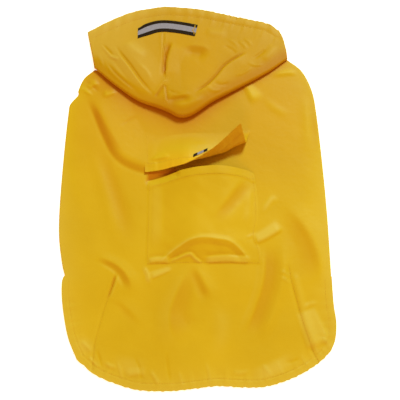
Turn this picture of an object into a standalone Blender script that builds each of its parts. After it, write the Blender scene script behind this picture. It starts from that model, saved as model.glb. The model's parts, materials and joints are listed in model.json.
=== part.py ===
"""Dog raincoat with a hood, laid flat on its belly side with the back up.

Frame: metres, +Z up, +Y from rump to hood, +X to the coat's right in plan. The origin is under the
middle of its box, on the surface that it lies on. The tables and sizes below are in millimetres,
and MM turns them into metres at the end.

Each cloth piece is a wall: a middle surface worked out on a grid, thickened to both sides. Heights
come from functions of the place (x, y), so a piece that lies on another is made from its heights,
moved up.
"""

import bmesh
import bpy
import numpy as np

MM = 0.001

# Driving sizes, mm
PLACE = (1.15, -3.0)  # moves the tables' frame to the middle of the box
CLOTH = 1.2  # thickness of a cloth wall
HEM_CLOTH = 2.4  # a turned hem, two layers
SEAM_GAP = 0.3  # between pieces at a seam, and between a piece and what it lies on
CENTRE_GAP = 0.5  # between the hood's halves, whose edges lean towards each other
FOLD_RISE = 2.2  # middle of the back layer above the middle of the belly layer, at the side folds
RUMP_HEM = 10.0  # width of the turned hem round the rump
CASING = 13.0  # width of the elastic casing at the hood's opening
FLOOR_LAYER = CLOTH / 2  # height of the middle of the layer that lies on the floor
BACK_EDGE = FLOOR_LAYER + FOLD_RISE  # height of the back layer's middle at the side folds
COARSE = 0.2  # added where a wall of other facets lies on a panel
LIE = CLOTH + SEAM_GAP + COARSE  # from a wall's middle to the middle of one that lies on it
FOLD_INSET = FOLD_RISE / 2 + CLOTH / 2  # from the silhouette in to where a side fold starts
RUMP_HEIGHT = 1.2  # middle of the rump's single layer
RUMP_STEP = 26.0  # length over which the back comes down to the rump, below the belly's hem
BACK_DOME = 1.3  # how much higher the back is inside its edges
BACK_DOME_WIDTH = 28.0
DART_RISE = 0.8
DART_HALF_WIDTH = 4.0
HOOD_LOW = 2.9  # middle of the hood's upper layer at the opening's ends
HOOD_MOUTH_SAG = 0.9  # how much lower it lies in the middle of the opening
HOOD_ROLL_LOW = 7.0  # at the ends of the rolled edge
HOOD_ROLL_MORE = 5.5  # how much higher in its middle
HOOD_TIP_MORE = 2.6  # more at the tip of the roll
ROLL_BULGE = 1.6  # how far the rolled edge bulges at its ends
ROLL_BULGE_MORE = 2.6  # how much more in its middle
SIDE_BULGE = 1.6  # how far the hood's side folds bulge
GATHER_PITCH = 19.0  # the gathers of the opening's elastic
GATHER_RISE = 0.8
GATHER_REACH = 27.0  # how far they run into the hood

# The back's silhouette. Columns: x, y. Side rows run from the neck to the rump's corner.
LEFT_SIDE = [
    (-133, 163), (-147, 150), (-154, 132), (-153.5, 126.5), (-163.3, 113.5), (-165.2, 101), (-168, 48),
    (-170, -20), (-169, -63), (-163.6, -98), (-159.5, -113), (-162, -123), (-160, -150), (-152, -187),
    (-140, -214.5),
]
RIGHT_SIDE = [
    (120, 177.5), (139, 160.5), (151, 132.5), (155.5, 101), (160, 35), (163.2, -37), (164.5, -113),
    (165.3, -147), (167.5, -170), (165.5, -190), (160, -203.5),
]
LEFT_FOLDED = 11  # table rows from the neck to the belly's hem, where the side fold ends
RIGHT_FOLDED = 7
RUMP = [
    (-140, -214.5), (-117, -232.5), (-88, -244.2), (-65, -249.8), (-32, -250.8), (-2, -248),
    (25, -245), (57, -246.5), (84, -245), (116, -234.5), (143, -219), (160, -203.5),
]
NECK = [(-133, 163), (-62, 140), (0, 131), (60, 147), (120, 177.5)]  # under the hood

# The hood's silhouette. Columns: x, y.
HOOD_OPENING = [
    (-145.5, 218), (-115, 235.5), (-83, 249.2), (-42, 257), (5, 252.9), (50, 242.8), (80, 236),
    (99, 230.8), (110.5, 221.5),
]
HOOD_ROLL = [
    (-134, 164), (-109, 141.5), (-77, 118.5), (-50, 108), (-36, 100.5), (-21, 92.5), (-4, 96.5),
    (23, 116.5), (52, 133.5), (94, 158.5), (120.5, 177.5),
]
HOOD_LEFT_EDGE = [(-134, 164), (-137.5, 181), (-141.5, 199), (-145.5, 218)]
HOOD_RIGHT_EDGE = [(120.5, 177.5), (119.7, 188), (118, 198), (115.5, 210), (110.5, 221.5)]
CENTRE_SEAM = [(-36, 100.5), (-39.5, 120), (-41, 165), (-44, 213), (-42, 257)]
LEFT_POINTS = {"roll": 5, "opening": 4}  # table rows from the left as far as the centre seam
# How far the rolled edge returns to the neck seam beneath. Columns: x, length.
RETURN = [(-134, 4), (-110, 10), (-90, 15), (-62, 23), (-21, 31), (20, 17), (52, 9), (80, 6), (118, 4)]
THROAT_FRONT = (-10.0, 184.0)  # where the two throat parts meet, at their top
LAYERS_ACROSS = (0.15, 0.85)  # shares of the hood's width that its hidden folds fill
LAYERS_UP = (0.085, 0.72)  # shares of the way from the rolled edge to the opening
LAYERS_DEPTH = (0.4, 0.6)  # shares of their depth at the outer step and at the inner one
LAYERS_SLACK = 0.7  # air over them
LAYERS_LEAST = 0.7  # their least thickness

# The underside: the side seams from the belly's hem up, and the neckline. Columns: x, y.
LEFT_SEAM = [(-114, -113), (-121, -40), (-120, 60), (-114, 110), (-92, 153.5)]
RIGHT_SEAM = [(118, -113), (116, -40), (111, 60), (105, 110), (78, 162)]
NECKLINE = [(-132, 163.2), (-92, 153.5), (-10, 146), (78, 162), (119, 177.6)]
BELLY_HEM_SIDE = -113.0  # y where the belly's hem meets the side seams
BELLY_HEM_ARCH = 24.0  # how far the hem rises in the middle
# Columns: centre x, centre y, half width, half length
LEG_HOLES = [(-72.0, 82.0, 26.0, 31.0), (66.0, 84.0, 26.0, 31.0)]

# Large folds. Columns: x and y of both ends, half width and height (negative for a valley).
BACK_FOLDS = [
    (-141, 122, -104, 40, 9, -2.4),
    (-104, 40, -66, 22, 8, -1.6),
    (-116, 112, -84, 48, 11, 1.6),
    (-147, 136, -134, 146, 6, 1.0),
    (-112, 0, -100, -70, 14, -0.8),
    (95, -16, 106, -44, 8, 2.0),
    (106, -44, 124, -96, 12, 1.4),
    (92, -72, 106, -84, 6, 1.6),
    (94, -108, 86, -144, 9, -1.3),
    (86, -144, 66, -186, 9, -1.0),
    (-18, -122, -32, -164, 9, -1.2),
    (-62, -127, -42, -117, 7, 1.4),
    (-98, -112, -80, -130, 9, 2.2),
]
HOOD_FOLDS = [
    (-110, 200, -68, 144, 6, -2.4),
    (-123, 194, -92, 150, 8, 1.6),
    (-107, 158, -86, 138, 6, -1.6),
    (-33, 196, -39, 146, 5, -2.4),
    (64, 180, 6, 130, 7, -3.0),
    (78, 187, 14, 128, 6, 2.0),
    (-30, 115, 26, 119, 5, 1.6),
    (-12, 196, 34, 186, 16, -2.0),
]
# Rump darts. Columns: x and y of the apex and of the end at the hem, then the bow to the outside
DARTS = [(-95, -108, -122, -226, 4), (109, -96, 142, -219, 5)]

POCKET_FOOT = [(-62, -102.5), (-5, -100.5), (81, -101.5)]
POCKET_MOUTH = [(-61, 7.5), (-43, 11.5), (-14, 19.5), (19, 23.5), (47, 22.5), (73, 16.5)]
POCKET_FULLNESS = 8.5  # how high the pocket stands off the back
POCKET_MOUTH_RISE = 3.0  # more at its mouth
POCKET_HEM = 11.0
POCKET_FOLDS = [
    (-49, -94, -25, -76, 6, 1.4),
    (-25, -76, 23, -67, 6, 1.6),
    (23, -67, 62, -92, 6, 1.4),
    (60, 0, 26, -40, 9, -1.6),
]

FLAP_HINGE = [(-67, 71), (0, 76.5), (70, 80)]  # the sewn edge
FLAP_DRIFT = (3.0, -14.0)  # how far its lip is shifted along x, at its left and right end
# How the flap stands up, left to right. Columns: share of its width, length, then in degrees the
# lift at the sewn edge, the droop along it and the curl of its lip, and where the curl starts.
FLAP_SHAPE = [
    (0.00, 53.0, 10, 12, 0, 0.80), (0.15, 53.0, 13, 14, 0, 0.80), (0.30, 53.0, 21.5, 14, -4, 0.80),
    (0.42, 54.0, 26.5, 12, 10, 0.80), (0.50, 54.5, 23.5, 10, 55, 0.76), (0.56, 54.5, 20.5, 10, 80, 0.74),
    (0.64, 54.5, 18, 13, 100, 0.68), (0.74, 54.5, 15, 15, 115, 0.61), (0.85, 54.5, 17, 9, 126, 0.54),
    (1.00, 54.5, 34, 8, 110, 0.42),
]
TAPE_WIDTH = 18.0
TAPE_LINE = [(-74, 213.5), (-59, 223), (-44, 226), (-23, 224), (0, 219)]  # its middle
TAPE_SLANTED = 0.2  # share of its length over which its threads turn to the upright left end
TAPE_THICKNESS = 0.9
TAB_MIDDLE = (0.56, 0.665)  # shares of the flap's width and length
TAB_HALF = TAPE_WIDTH / 2 / (FLAP_HINGE[-1][0] - FLAP_HINGE[0][0])
TAB_LENGTH = 0.07  # share of the flap's length
TAB_SLANT = -1.45  # how far it is turned: shares of the length for each share of the width

# Where the grids have their rows and columns, as counts or as shares of the piece
FOLDED_ROWS = 27  # rows of the back from the belly's hem to the neck
FOLDED_FROM = 0.27  # where they start
RUMP_ROWS = np.array([0, 0.085, 0.125, 0.24, 0.37, 0.5, 0.63, 0.76, 0.88, 1])
BACK_COLUMNS = np.concatenate([[0, 0.028, 0.042], np.linspace(0.075, 0.925, 26), [0.958, 0.972, 1]])
HALF_COLUMNS = 20  # columns of one half of the hood
HOOD_ROWS = 14
POCKET_COLUMNS = np.concatenate([[0, 0.03], np.linspace(0.09, 0.91, 12), [0.97, 1]])
POCKET_ROWS = np.concatenate([[0, 0.04], np.linspace(0.12, 0.86, 9), [0.9, 0.925, 1]])
FLAP_ACROSS = np.linspace(0, 1, 18)
FLAP_ALONG = np.concatenate([np.linspace(0, 0.5, 6), np.linspace(0.56, 1, 12)])


# ---------------------------------------------------------------- curves and heights

def curve(points, count):
    """A smooth open curve through the points, as count points evenly spaced along it.

    Each span is a cubic whose end slopes are the mean slopes of its neighbours (Catmull-Rom), and
    the result is read off again by length.
    """
    p = np.array(points, float)
    slopes = np.gradient(p, axis=0)
    t = np.linspace(0, 1, 24, endpoint=False)[:, None]
    spans = []
    for a, b, slope_a, slope_b in zip(p[:-1], p[1:], slopes[:-1], slopes[1:]):
        rise = 3 * t**2 - 2 * t**3
        spans.append(
            a * (1 - rise) + b * rise + slope_a * (t - 2 * t**2 + t**3) + slope_b * (t**3 - t**2)
        )
    fine = np.concatenate(spans + [p[-1:]])
    length = np.concatenate([[0], np.cumsum(np.linalg.norm(np.diff(fine, axis=0), axis=1))])
    at = np.linspace(0, length[-1], count)
    return np.stack([np.interp(at, length, fine[:, k]) for k in range(fine.shape[1])], axis=1)


def outward(line, turn):
    """Unit normals of a plane curve, on its left where turn is 1 and on its right where it is -1."""
    d = np.gradient(line[:, :2], axis=0)
    d /= np.linalg.norm(d, axis=1)[:, None]
    return turn * np.stack([-d[:, 1], d[:, 0]], axis=1)


def distance(x, y, line):
    """Shortest plane distance from each place to a curve given by its points."""
    a = line[:-1, :2]
    span = np.diff(line[:, :2], axis=0)
    place = np.stack([x, y], axis=-1)[..., None, :]
    t = np.clip(((place - a) * span).sum(-1) / (span**2).sum(-1), 0, 1)
    return np.linalg.norm(place - a - t[..., None] * span, axis=-1).min(-1)


def step(low, high, value):
    """0 below low, 1 above high, a smooth ramp between."""
    t = np.clip((value - low) / (high - low), 0, 1)
    return t * t * (3 - 2 * t)


def folds(x, y, rows):
    """Sum of soft ridges and valleys: a bell across each row's line, fading past its two ends."""
    total = np.zeros(np.shape(x))
    for x0, y0, x1, y1, half_width, height in rows:
        span = np.array([x1 - x0, y1 - y0], float)
        length = np.linalg.norm(span)
        along = ((x - x0) * span[0] + (y - y0) * span[1]) / length
        across = ((y - y0) * span[0] - (x - x0) * span[1]) / length
        past = np.maximum(0, np.abs(along - length / 2) - length / 2)
        total += height * np.exp(-((across / half_width) ** 2) - (past / (1.5 * half_width)) ** 2)
    return total


def dart_ridge(x, y):
    """The two stitched rump darts: a low sharp ridge along each bowed line."""
    total = np.zeros(np.shape(x))
    for x0, y0, x1, y1, bow in DARTS:
        t = (y - y0) / (y1 - y0)
        line = x0 + (x1 - x0) * t + np.sign(x1 - x0) * bow * 4 * t * (t - 1)
        total += DART_RISE * step(-0.05, 0.1, t) * np.exp(-(((x - line) / DART_HALF_WIDTH) ** 2))
    return total


SIDES = [curve(LEFT_SIDE, 90), curve(RIGHT_SIDE, 70)]
RUMP_LINE = curve(RUMP, 70)
OPENING_LINE = curve(HOOD_OPENING, 60)
ROLL_LINE = curve(HOOD_ROLL, 60)


def back_height(x, y):
    """Height of the middle of the back layer.

    Flat over the side folds, a low dome inside them, the folds, and a step down to the floor on the
    single layer of the rump.
    """
    sides = np.minimum(distance(x, y, SIDES[0]), distance(x, y, SIDES[1]))
    to_edge = np.minimum(sides, distance(x, y, RUMP_LINE))
    single = 1 - step(BELLY_HEM_SIDE - RUMP_STEP, BELLY_HEM_SIDE - 2, y)
    edge = BACK_EDGE * (1 - single) + RUMP_HEIGHT * single
    dome = BACK_DOME * (1 - np.exp(-to_edge / BACK_DOME_WIDTH))
    relief = (folds(x, y, BACK_FOLDS) + dart_ridge(x, y)) * step(2, 16, to_edge)
    lowest = edge - 0.3 * (1 - single) - 0.15 * single
    return np.maximum(edge + dome + relief, lowest)


def hood_share(x, y):
    """0 at the hood's opening, 1 at its rolled edge."""
    a = distance(x, y, OPENING_LINE)
    b = distance(x, y, ROLL_LINE)
    return a / (a + b + 1e-9)


def hood_height(x, y):
    """Height of the middle of the hood's upper layer.

    It lies low at the opening, climbs over the hidden folds to the rolled edge, is fullest near the
    tip of the roll, and carries the folds.
    """
    left, right = HOOD_OPENING[0][0], HOOD_ROLL[-1][0]
    across = np.clip((x - left) / (right - left), 0, 1)
    middle = np.sin(np.pi * across)
    share = hood_share(x, y)
    opening = HOOD_LOW - HOOD_MOUTH_SAG * middle
    roll = HOOD_ROLL_LOW + HOOD_ROLL_MORE * middle**0.7
    climb = np.sin(share * np.pi / 2) ** 1.5
    tip = HOOD_TIP_MORE * np.exp(-(((x + 12) / 34) ** 2) - ((y - 116) / 24) ** 2)
    inside = step(0, 0.16, share) * (1 - step(0.9, 1, share))
    inside = inside * step(0.02, 0.12, across) * (1 - step(0.9, 0.99, across))
    plain = opening + (roll - opening) * climb + tip
    return plain + folds(x, y, HOOD_FOLDS) * inside + gathers(x, y, across)


def gathers(x, y, across):
    """The gathers of the opening's elastic: uneven waves along it that fade into the hood."""
    wave = np.sin(2 * np.pi * x / GATHER_PITCH + 1.6 * np.sin(x / 17))
    reach = 1 - step(0, GATHER_REACH, distance(x, y, OPENING_LINE))
    inside = step(0, 0.08, across) * (1 - step(0.92, 1, across))
    return GATHER_RISE * wave * reach * inside


# ---------------------------------------------------------------- sheets and walls

def coons(left, right, low, high, columns, rows):
    """A grid of rows between low and high and columns between left and right (a Coons patch).

    The sum of the two straight blends between opposite edges, less the blend of the four corners.
    """
    v = rows[:, None, None]
    u = columns[None, :, None]
    sides = (1 - u) * left[:, None] + u * right[:, None]
    ends = (1 - v) * low[None] + v * high[None]
    corners = (1 - v) * ((1 - u) * left[0] + u * right[0]) + v * ((1 - u) * left[-1] + u * right[-1])
    return sides + ends - corners


def raised(grid, height):
    """A plane grid with its heights."""
    return np.concatenate([grid[..., :2], height[..., None]], axis=-1)


def fold_under(edge, normals, low, reach, steps):
    """Columns that carry a sheet's edge round a fold and back beneath it.

    An upright half ellipse from the edge down to height low, bulging by reach along the normals.
    The angles are even and both ends are left out of the first and kept in the last column.
    """
    half = (edge[:, 2] - low) / 2
    columns = []
    for k in range(1, steps + 1):
        angle = np.pi / 2 - np.pi * k / steps
        out = reach * np.cos(angle)
        z = low + half * (1 + np.sin(angle))
        columns.append(np.column_stack([edge[:, :2] + normals * out[..., None], z]))
    return np.stack(columns, axis=1)


def between(first, last, steps):
    """Columns on straight lines from one edge to another, without the first."""
    t = np.linspace(0, 1, steps + 1)[1:, None]
    return first[:, None] * (1 - t) + last[:, None] * t


def merged(grids):
    """One mesh of several grids: points closer than a hair are one, quads keep their grid's turn."""
    points = np.concatenate([g.reshape(-1, 3) for g in grids])
    quads = []
    start = 0
    for g in grids:
        rows, columns = g.shape[:2]
        index = start + np.arange(rows * columns).reshape(rows, columns)
        quads.append(
            np.stack([index[:-1, :-1], index[:-1, 1:], index[1:, 1:], index[1:, :-1]], -1).reshape(-1, 4)
        )
        start += rows * columns
    _, first, same = np.unique(np.round(points, 3), axis=0, return_index=True, return_inverse=True)
    return points[first], same.reshape(-1)[np.concatenate(quads)]


def point_normals(points, faces):
    """Normals at the points, each the area-weighted mean of its faces' normals."""
    diagonal_a = points[faces[:, 2]] - points[faces[:, 0]]
    diagonal_b = points[faces[:, 3]] - points[faces[:, 1]]
    face_normals = np.cross(diagonal_a, diagonal_b)
    normals = np.zeros(points.shape)
    for k in range(4):
        np.add.at(normals, faces[:, k], face_normals)
    return normals / np.linalg.norm(normals, axis=1)[:, None]


def boundary(faces):
    """Directed edges that only one face has."""
    edges = np.concatenate([faces, np.roll(faces, -1, axis=1)]).reshape(2, -1).T
    keys = {(int(a), int(b)) for a, b in edges}
    return np.array([(a, b) for a, b in sorted(keys) if (b, a) not in keys])


def closed(upper, lower, faces):
    """A closed body between an upper and a lower surface on the same faces, with its rim."""
    count = len(upper)
    rim = boundary(faces)
    sides = np.column_stack([rim[:, 1], rim[:, 0], rim[:, 0] + count, rim[:, 1] + count])
    skins = np.concatenate([faces, faces[:, ::-1] + count])
    return np.concatenate([upper, lower]), skins.tolist() + sides.tolist()


def wall(points, faces, thickness):
    """A closed wall: the middle surface moved half the thickness to both sides, and its rim."""
    half = (np.broadcast_to(thickness, len(points)) / 2)[:, None]
    normals = point_normals(points, faces)
    return closed(points + normals * half, points - normals * half, faces)


# ---------------------------------------------------------------- objects

def cloth_material(name, colour, roughness):
    """A plain coated-cloth or tape material."""
    made = bpy.data.materials.new(name)
    made.use_nodes = True
    shader = made.node_tree.nodes["Principled BSDF"]
    shader.inputs["Base Color"].default_value = (*colour, 1)
    shader.inputs["Roughness"].default_value = roughness
    shader.inputs["Metallic"].default_value = 0
    return made


def add_piece(name, points, faces, made):
    """One named object from points in millimetres."""
    mesh = bpy.data.meshes.new(name)
    mesh.from_pydata(((points + (*PLACE, 0)) * MM).tolist(), [], faces)
    mesh.validate()
    mesh.materials.append(made)
    mesh.shade_smooth()
    piece = bpy.data.objects.new(name, mesh)
    bpy.context.scene.collection.objects.link(piece)
    return piece


# ---------------------------------------------------------------- shared lines

def joined(line, start, end):
    """A line moved a little, evenly along it, so that it starts and ends at the given places."""
    t = np.linspace(0, 1, len(line))[:, None]
    return line + (np.array(start) - line[0]) * (1 - t) + (np.array(end) - line[-1]) * t


def neckline_y(x):
    """y of the underside's neckline at x."""
    line = curve(NECKLINE, 80)
    return np.interp(x, line[:, 0], line[:, 1])


def read_at(points, shares):
    """Points of a smooth curve at given shares of its length."""
    fine = curve(points, 400)
    at = np.linspace(0, 1, 400)
    return np.stack([np.interp(shares, at, fine[:, k]) for k in range(2)], axis=1)


def side_line(table, folded, turn):
    """A side of the back from the rump's corner to the neck, and the normals of its folded part.

    Where the cloth folds under, the line lies inside the silhouette by the fold's bulge.
    """
    low = read_at(table[folded - 1:][::-1], RUMP_ROWS)
    high = read_at(table[:folded][::-1], np.linspace(0, 1, FOLDED_ROWS))
    normals = outward(high, turn)
    return np.concatenate([low[:-1], high - normals * FOLD_INSET]), normals


def seam_line(table):
    """A side seam of the underside, one point for each folded row of the back."""
    line = read_at(table, np.linspace(0, 1, FOLDED_ROWS))
    line[-1, 1] = neckline_y(line[-1, 0])
    return line


def on_floor(line):
    """A plane line as the middle of the layer that lies on the floor."""
    return np.column_stack([line[:, :2], np.full(len(line), FLOOR_LAYER)])


# ---------------------------------------------------------------- pieces

def hem_thickness(x, y):
    """Two layers in the turned hem round the rump, one elsewhere."""
    lower_sides = [curve(LEFT_SIDE[LEFT_FOLDED - 1:], 40), curve(RIGHT_SIDE[RIGHT_FOLDED - 1:], 40)]
    to_hem = distance(x, y, RUMP_LINE)
    for line in lower_sides:
        to_hem = np.minimum(to_hem, distance(x, y, line))
    inside = 1 - step(RUMP_HEM - 1.5, RUMP_HEM + 2.5, to_hem)
    below = 1 - step(BELLY_HEM_SIDE - RUMP_STEP, BELLY_HEM_SIDE - RUMP_STEP / 2, y)
    return CLOTH + (HEM_CLOTH - CLOTH) * inside * below


def back_panel():
    """The back: a sheet over the whole top, and a strip at each side that folds round beneath."""
    left, left_normals = side_line(LEFT_SIDE, LEFT_FOLDED, 1)
    right, right_normals = side_line(RIGHT_SIDE, RIGHT_FOLDED, -1)
    low = joined(read_at(RUMP, BACK_COLUMNS), left[0], right[0])
    high = joined(read_at(NECK, BACK_COLUMNS), left[-1], right[-1])
    rows = np.concatenate([RUMP_ROWS[:-1] * FOLDED_FROM, np.linspace(FOLDED_FROM, 1, FOLDED_ROWS)])
    plan = coons(left, right, low, high, BACK_COLUMNS, rows)
    top = raised(plan, back_height(plan[..., 0], plan[..., 1]))
    strips = []
    for column, normals, seam in ((0, left_normals, LEFT_SEAM), (-1, right_normals, RIGHT_SEAM)):
        edge = top[-FOLDED_ROWS:, column]
        fold = fold_under(edge, normals, FLOOR_LAYER, FOLD_RISE / 2, 3)
        under = between(fold[:, -1], on_floor(seam_line(seam)), 3)
        under[-1, :, 1] = neckline_y(under[-1, :, 0])
        strip = np.concatenate([edge[:, None], fold, under], axis=1)
        strips.append(strip[:, ::-1] if column == 0 else strip)
    points, faces = merged([top] + strips)
    upper = points[:, 2] > (FLOOR_LAYER + RUMP_HEIGHT) / 2
    thickness = np.where(upper, hem_thickness(points[:, 0], points[:, 1]), CLOTH)
    return wall(points, faces, thickness)


def belly_panel():
    """The belly: a flat wall between the side seams, with its arched hem and two leg holes."""
    left = seam_line(LEFT_SEAM) + (SEAM_GAP, 0)
    right = seam_line(RIGHT_SEAM) - (SEAM_GAP, 0)
    across = np.linspace(0, 1, 14)[1:-1]
    top_x = left[-1, 0] + (right[-1, 0] - left[-1, 0]) * across
    top = np.column_stack([top_x, neckline_y(top_x)])
    hem_x = left[0, 0] + (right[0, 0] - left[0, 0]) * across
    hem_y = BELLY_HEM_SIDE + BELLY_HEM_ARCH * np.sin(np.pi * across)
    hem = np.column_stack([hem_x, hem_y])
    outline = np.concatenate([left, top, right[::-1], hem[::-1]])
    loops = [outline[::-1]]
    turn = np.linspace(0, 2 * np.pi, 25)[:-1, None]
    for x, y, half_width, half_length in LEG_HOLES:
        loops.append(np.hstack([x + half_width * np.cos(turn), y + half_length * np.sin(turn)]))
    return plate(loops, 0.0, CLOTH)


def plate(loops, low, high):
    """A flat plate with holes: its outline and holes filled with triangles, and upright rims."""
    plan = np.concatenate(loops)
    mesh = bmesh.new()
    made = [mesh.verts.new((x, y, 0)) for x, y in plan]
    start = 0
    for loop in loops:
        for k in range(len(loop)):
            mesh.edges.new((made[start + k], made[start + (k + 1) % len(loop)]))
        start += len(loop)
    mesh.verts.index_update()
    bmesh.ops.triangle_fill(mesh, edges=mesh.edges[:], use_beauty=True, normal=(0, 0, 1))
    triangles = np.array([[v.index for v in face.verts] for face in mesh.faces])
    mesh.free()
    a, b, c = (plan[triangles[:, k]] for k in range(3))
    turned = (b[:, 0] - a[:, 0]) * (c[:, 1] - a[:, 1]) < (b[:, 1] - a[:, 1]) * (c[:, 0] - a[:, 0])
    triangles[turned] = triangles[turned][:, ::-1]
    upper = np.column_stack([plan, np.full(len(plan), high)])
    lower = np.column_stack([plan, np.full(len(plan), low)])
    return closed(upper, lower, triangles)


def hood_lines():
    """The rolled edge's line with its normals and bulge, and the opening's line, for both halves."""
    k = LEFT_POINTS["roll"]
    roll = np.concatenate(
        [curve(HOOD_ROLL[:k], HALF_COLUMNS + 1), curve(HOOD_ROLL[k - 1:], HALF_COLUMNS + 1)[1:]]
    )
    k = LEFT_POINTS["opening"]
    opening = np.concatenate(
        [curve(HOOD_OPENING[:k], HALF_COLUMNS + 1), curve(HOOD_OPENING[k - 1:], HALF_COLUMNS + 1)[1:]]
    )
    share = np.linspace(0, 1, len(roll))
    bulge = ROLL_BULGE + ROLL_BULGE_MORE * np.sin(np.pi * share) ** 0.8
    return roll, outward(roll, -1), bulge, opening


def hood_half(side):
    """One half of the hood: crown, rolled edge with its return to the neck, side fold and throat."""
    roll, roll_normals, bulge, opening = hood_lines()
    take = slice(0, HALF_COLUMNS + 1) if side < 0 else slice(HALF_COLUMNS, 2 * HALF_COLUMNS + 1)
    normals, bulge = roll_normals[take], bulge[take]
    low = roll[take] - normals * (bulge + CLOTH / 2)[:, None]
    high = opening[take]
    edge = curve(HOOD_LEFT_EDGE if side < 0 else HOOD_RIGHT_EDGE, HOOD_ROWS + 1)
    edge_normals = outward(edge, -side)
    edge = edge - edge_normals * (SIDE_BULGE + CLOTH / 2)
    inner = -1 if side < 0 else 0
    seam = joined(curve(CENTRE_SEAM, HOOD_ROWS + 1), low[inner], high[inner])
    seam = seam + (side * CENTRE_GAP / 2, 0)
    left, right = (edge, seam) if side < 0 else (seam, edge)
    low = joined(low, left[0], right[0])
    high = joined(high, left[-1], right[-1])
    rows = np.linspace(0, 1, HOOD_ROWS + 1)
    plan = coons(left, right, low, high, np.linspace(0, 1, HALF_COLUMNS + 1), rows)
    crown = raised(plan, hood_height(plan[..., 0], plan[..., 1]))
    roll_strip = hood_roll(crown[0], normals, bulge)
    throat = hood_throat(crown, edge_normals, side)
    points, faces = merged([crown, roll_strip, throat])
    near = distance(points[:, 0], points[:, 1], OPENING_LINE)
    casing = 1 - step(CASING - 4, CASING + 4, near)
    upper = points[:, 2] > FLOOR_LAYER + CLOTH
    return wall(points, faces, CLOTH + (HEM_CLOTH - CLOTH) * casing * upper)


def lying_height(plan):
    """Height for the middle of a wall that lies on the back."""
    return back_height(plan[..., 0], plan[..., 1]) + LIE


def hood_roll(edge, normals, bulge):
    """The hood's lower edge rolled under, and the return up to the neck seam."""
    beyond = edge[:, :2] + normals * (bulge + CLOTH / 2)[:, None]
    low = np.maximum(lying_height(edge[:, :2]), lying_height(beyond))
    fold = fold_under(edge, normals, low, bulge, 4)
    reach = np.interp(edge[:, 0], *np.array(RETURN, float).T)
    end = edge[:, :2] - normals * reach[:, None]
    back = between(fold[:, -1], np.column_stack([end, low]), 3)
    back[..., 2] = np.maximum(lying_height(back[..., :2]), low[:, None] * (1, 0, 0))
    strip = np.concatenate([edge[:, None], fold, back], axis=1)
    return strip.transpose(1, 0, 2)[::-1]


def hood_throat(crown, normals, side):
    """The hood's side folded under, and its lower part on the floor as far as the throat seam."""
    edge = crown[:, 0] if side < 0 else crown[:, -1]
    fold = fold_under(edge, normals, FLOOR_LAYER, SIDE_BULGE, 4)
    front_y = np.linspace(neckline_y(THROAT_FRONT[0]), THROAT_FRONT[1], len(edge))
    front = np.column_stack([np.full(len(edge), THROAT_FRONT[0] + side * SEAM_GAP / 2), front_y])
    under = between(fold[:, -1], on_floor(front), 6)
    under[0, :, 1] = neckline_y(under[0, :, 0]) + SEAM_GAP + COARSE
    strip = np.concatenate([edge[:, None], fold, under], axis=1)
    return strip[:, ::-1] if side < 0 else strip


def hood_folded_layers():
    """The hood's hidden folds as one rounded solid under the crown, stepped at its edges.

    Its floor follows the return of the rolled edge over the back, then the throat. Its roof follows
    the crown with every valley made wider.
    """
    across = np.linspace(*LAYERS_ACROSS, 19)
    up = np.linspace(*LAYERS_UP, 12)
    w = up[:, None, None]
    plan = read_at(HOOD_ROLL, across)[None] * (1 - w) + read_at(HOOD_OPENING, across)[None] * w
    x, y = plan[..., 0], plan[..., 1]
    wide = [(*row[:4], row[4] * 1.7, min(row[5], 0)) for row in HOOD_FOLDS]
    crown = hood_height(x, y) - folds(x, y, HOOD_FOLDS) + folds(x, y, wide)
    clear = CLOTH / 2 + SEAM_GAP + COARSE
    over_back = back_height(x, y) + LIE + clear
    over_throat = FLOOR_LAYER + clear
    on_throat = step(8, 20, y - np.interp(x, *np.array(NECK, float).T))
    floor = over_back * (1 - on_throat) + over_throat * on_throat
    edge_across = np.minimum(across - across[0], across[-1] - across) / np.ptp(across)
    edge_up = np.minimum(up - up[0], up[-1] - up) / np.ptp(up)
    to_edge = np.minimum(edge_across[None], edge_up[:, None])
    outer, inner = LAYERS_DEPTH
    layered = outer * step(-0.02, 0.06, to_edge) + inner * step(0.1, 0.24, to_edge)
    depth = np.maximum((crown - clear - LAYERS_SLACK - floor) * layered, LAYERS_LEAST)
    upper, faces = merged([raised(plan, floor + depth)])
    lower, _ = merged([raised(plan, floor)])
    return closed(upper, lower, faces)


def tape_on_hood():
    """The reflective tape: a flat band along its line, lying on the hood, its left end cut upright."""
    line = curve(TAPE_LINE, 17)
    normals = outward(line, 1)
    upright = 1 - step(0, TAPE_SLANTED, np.linspace(0, 1, len(line)))[:, None]
    normals = normals * (1 - upright) + (0, 1) / normals[:, 1:] * upright
    across = np.linspace(-TAPE_WIDTH / 2, TAPE_WIDTH / 2, 4)[:, None, None]
    plan = line[None] + normals[None] * across
    height = hood_height(plan[..., 0], plan[..., 1]) + CLOTH / 2 + SEAM_GAP + COARSE
    lower, faces = merged([raised(plan, height)])
    upper, _ = merged([raised(plan, height + TAPE_THICKNESS)])
    return closed(upper, lower, faces)


def pocket_plan(columns, rows):
    """The pocket's grid in plan, rows from its foot to its mouth."""
    low = read_at(POCKET_FOOT, columns)
    high = read_at(POCKET_MOUTH, columns)
    left = low[0] + (high[0] - low[0]) * rows[:, None]
    right = low[-1] + (high[-1] - low[-1]) * rows[:, None]
    return coons(left, right, low, high, columns, rows)


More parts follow.
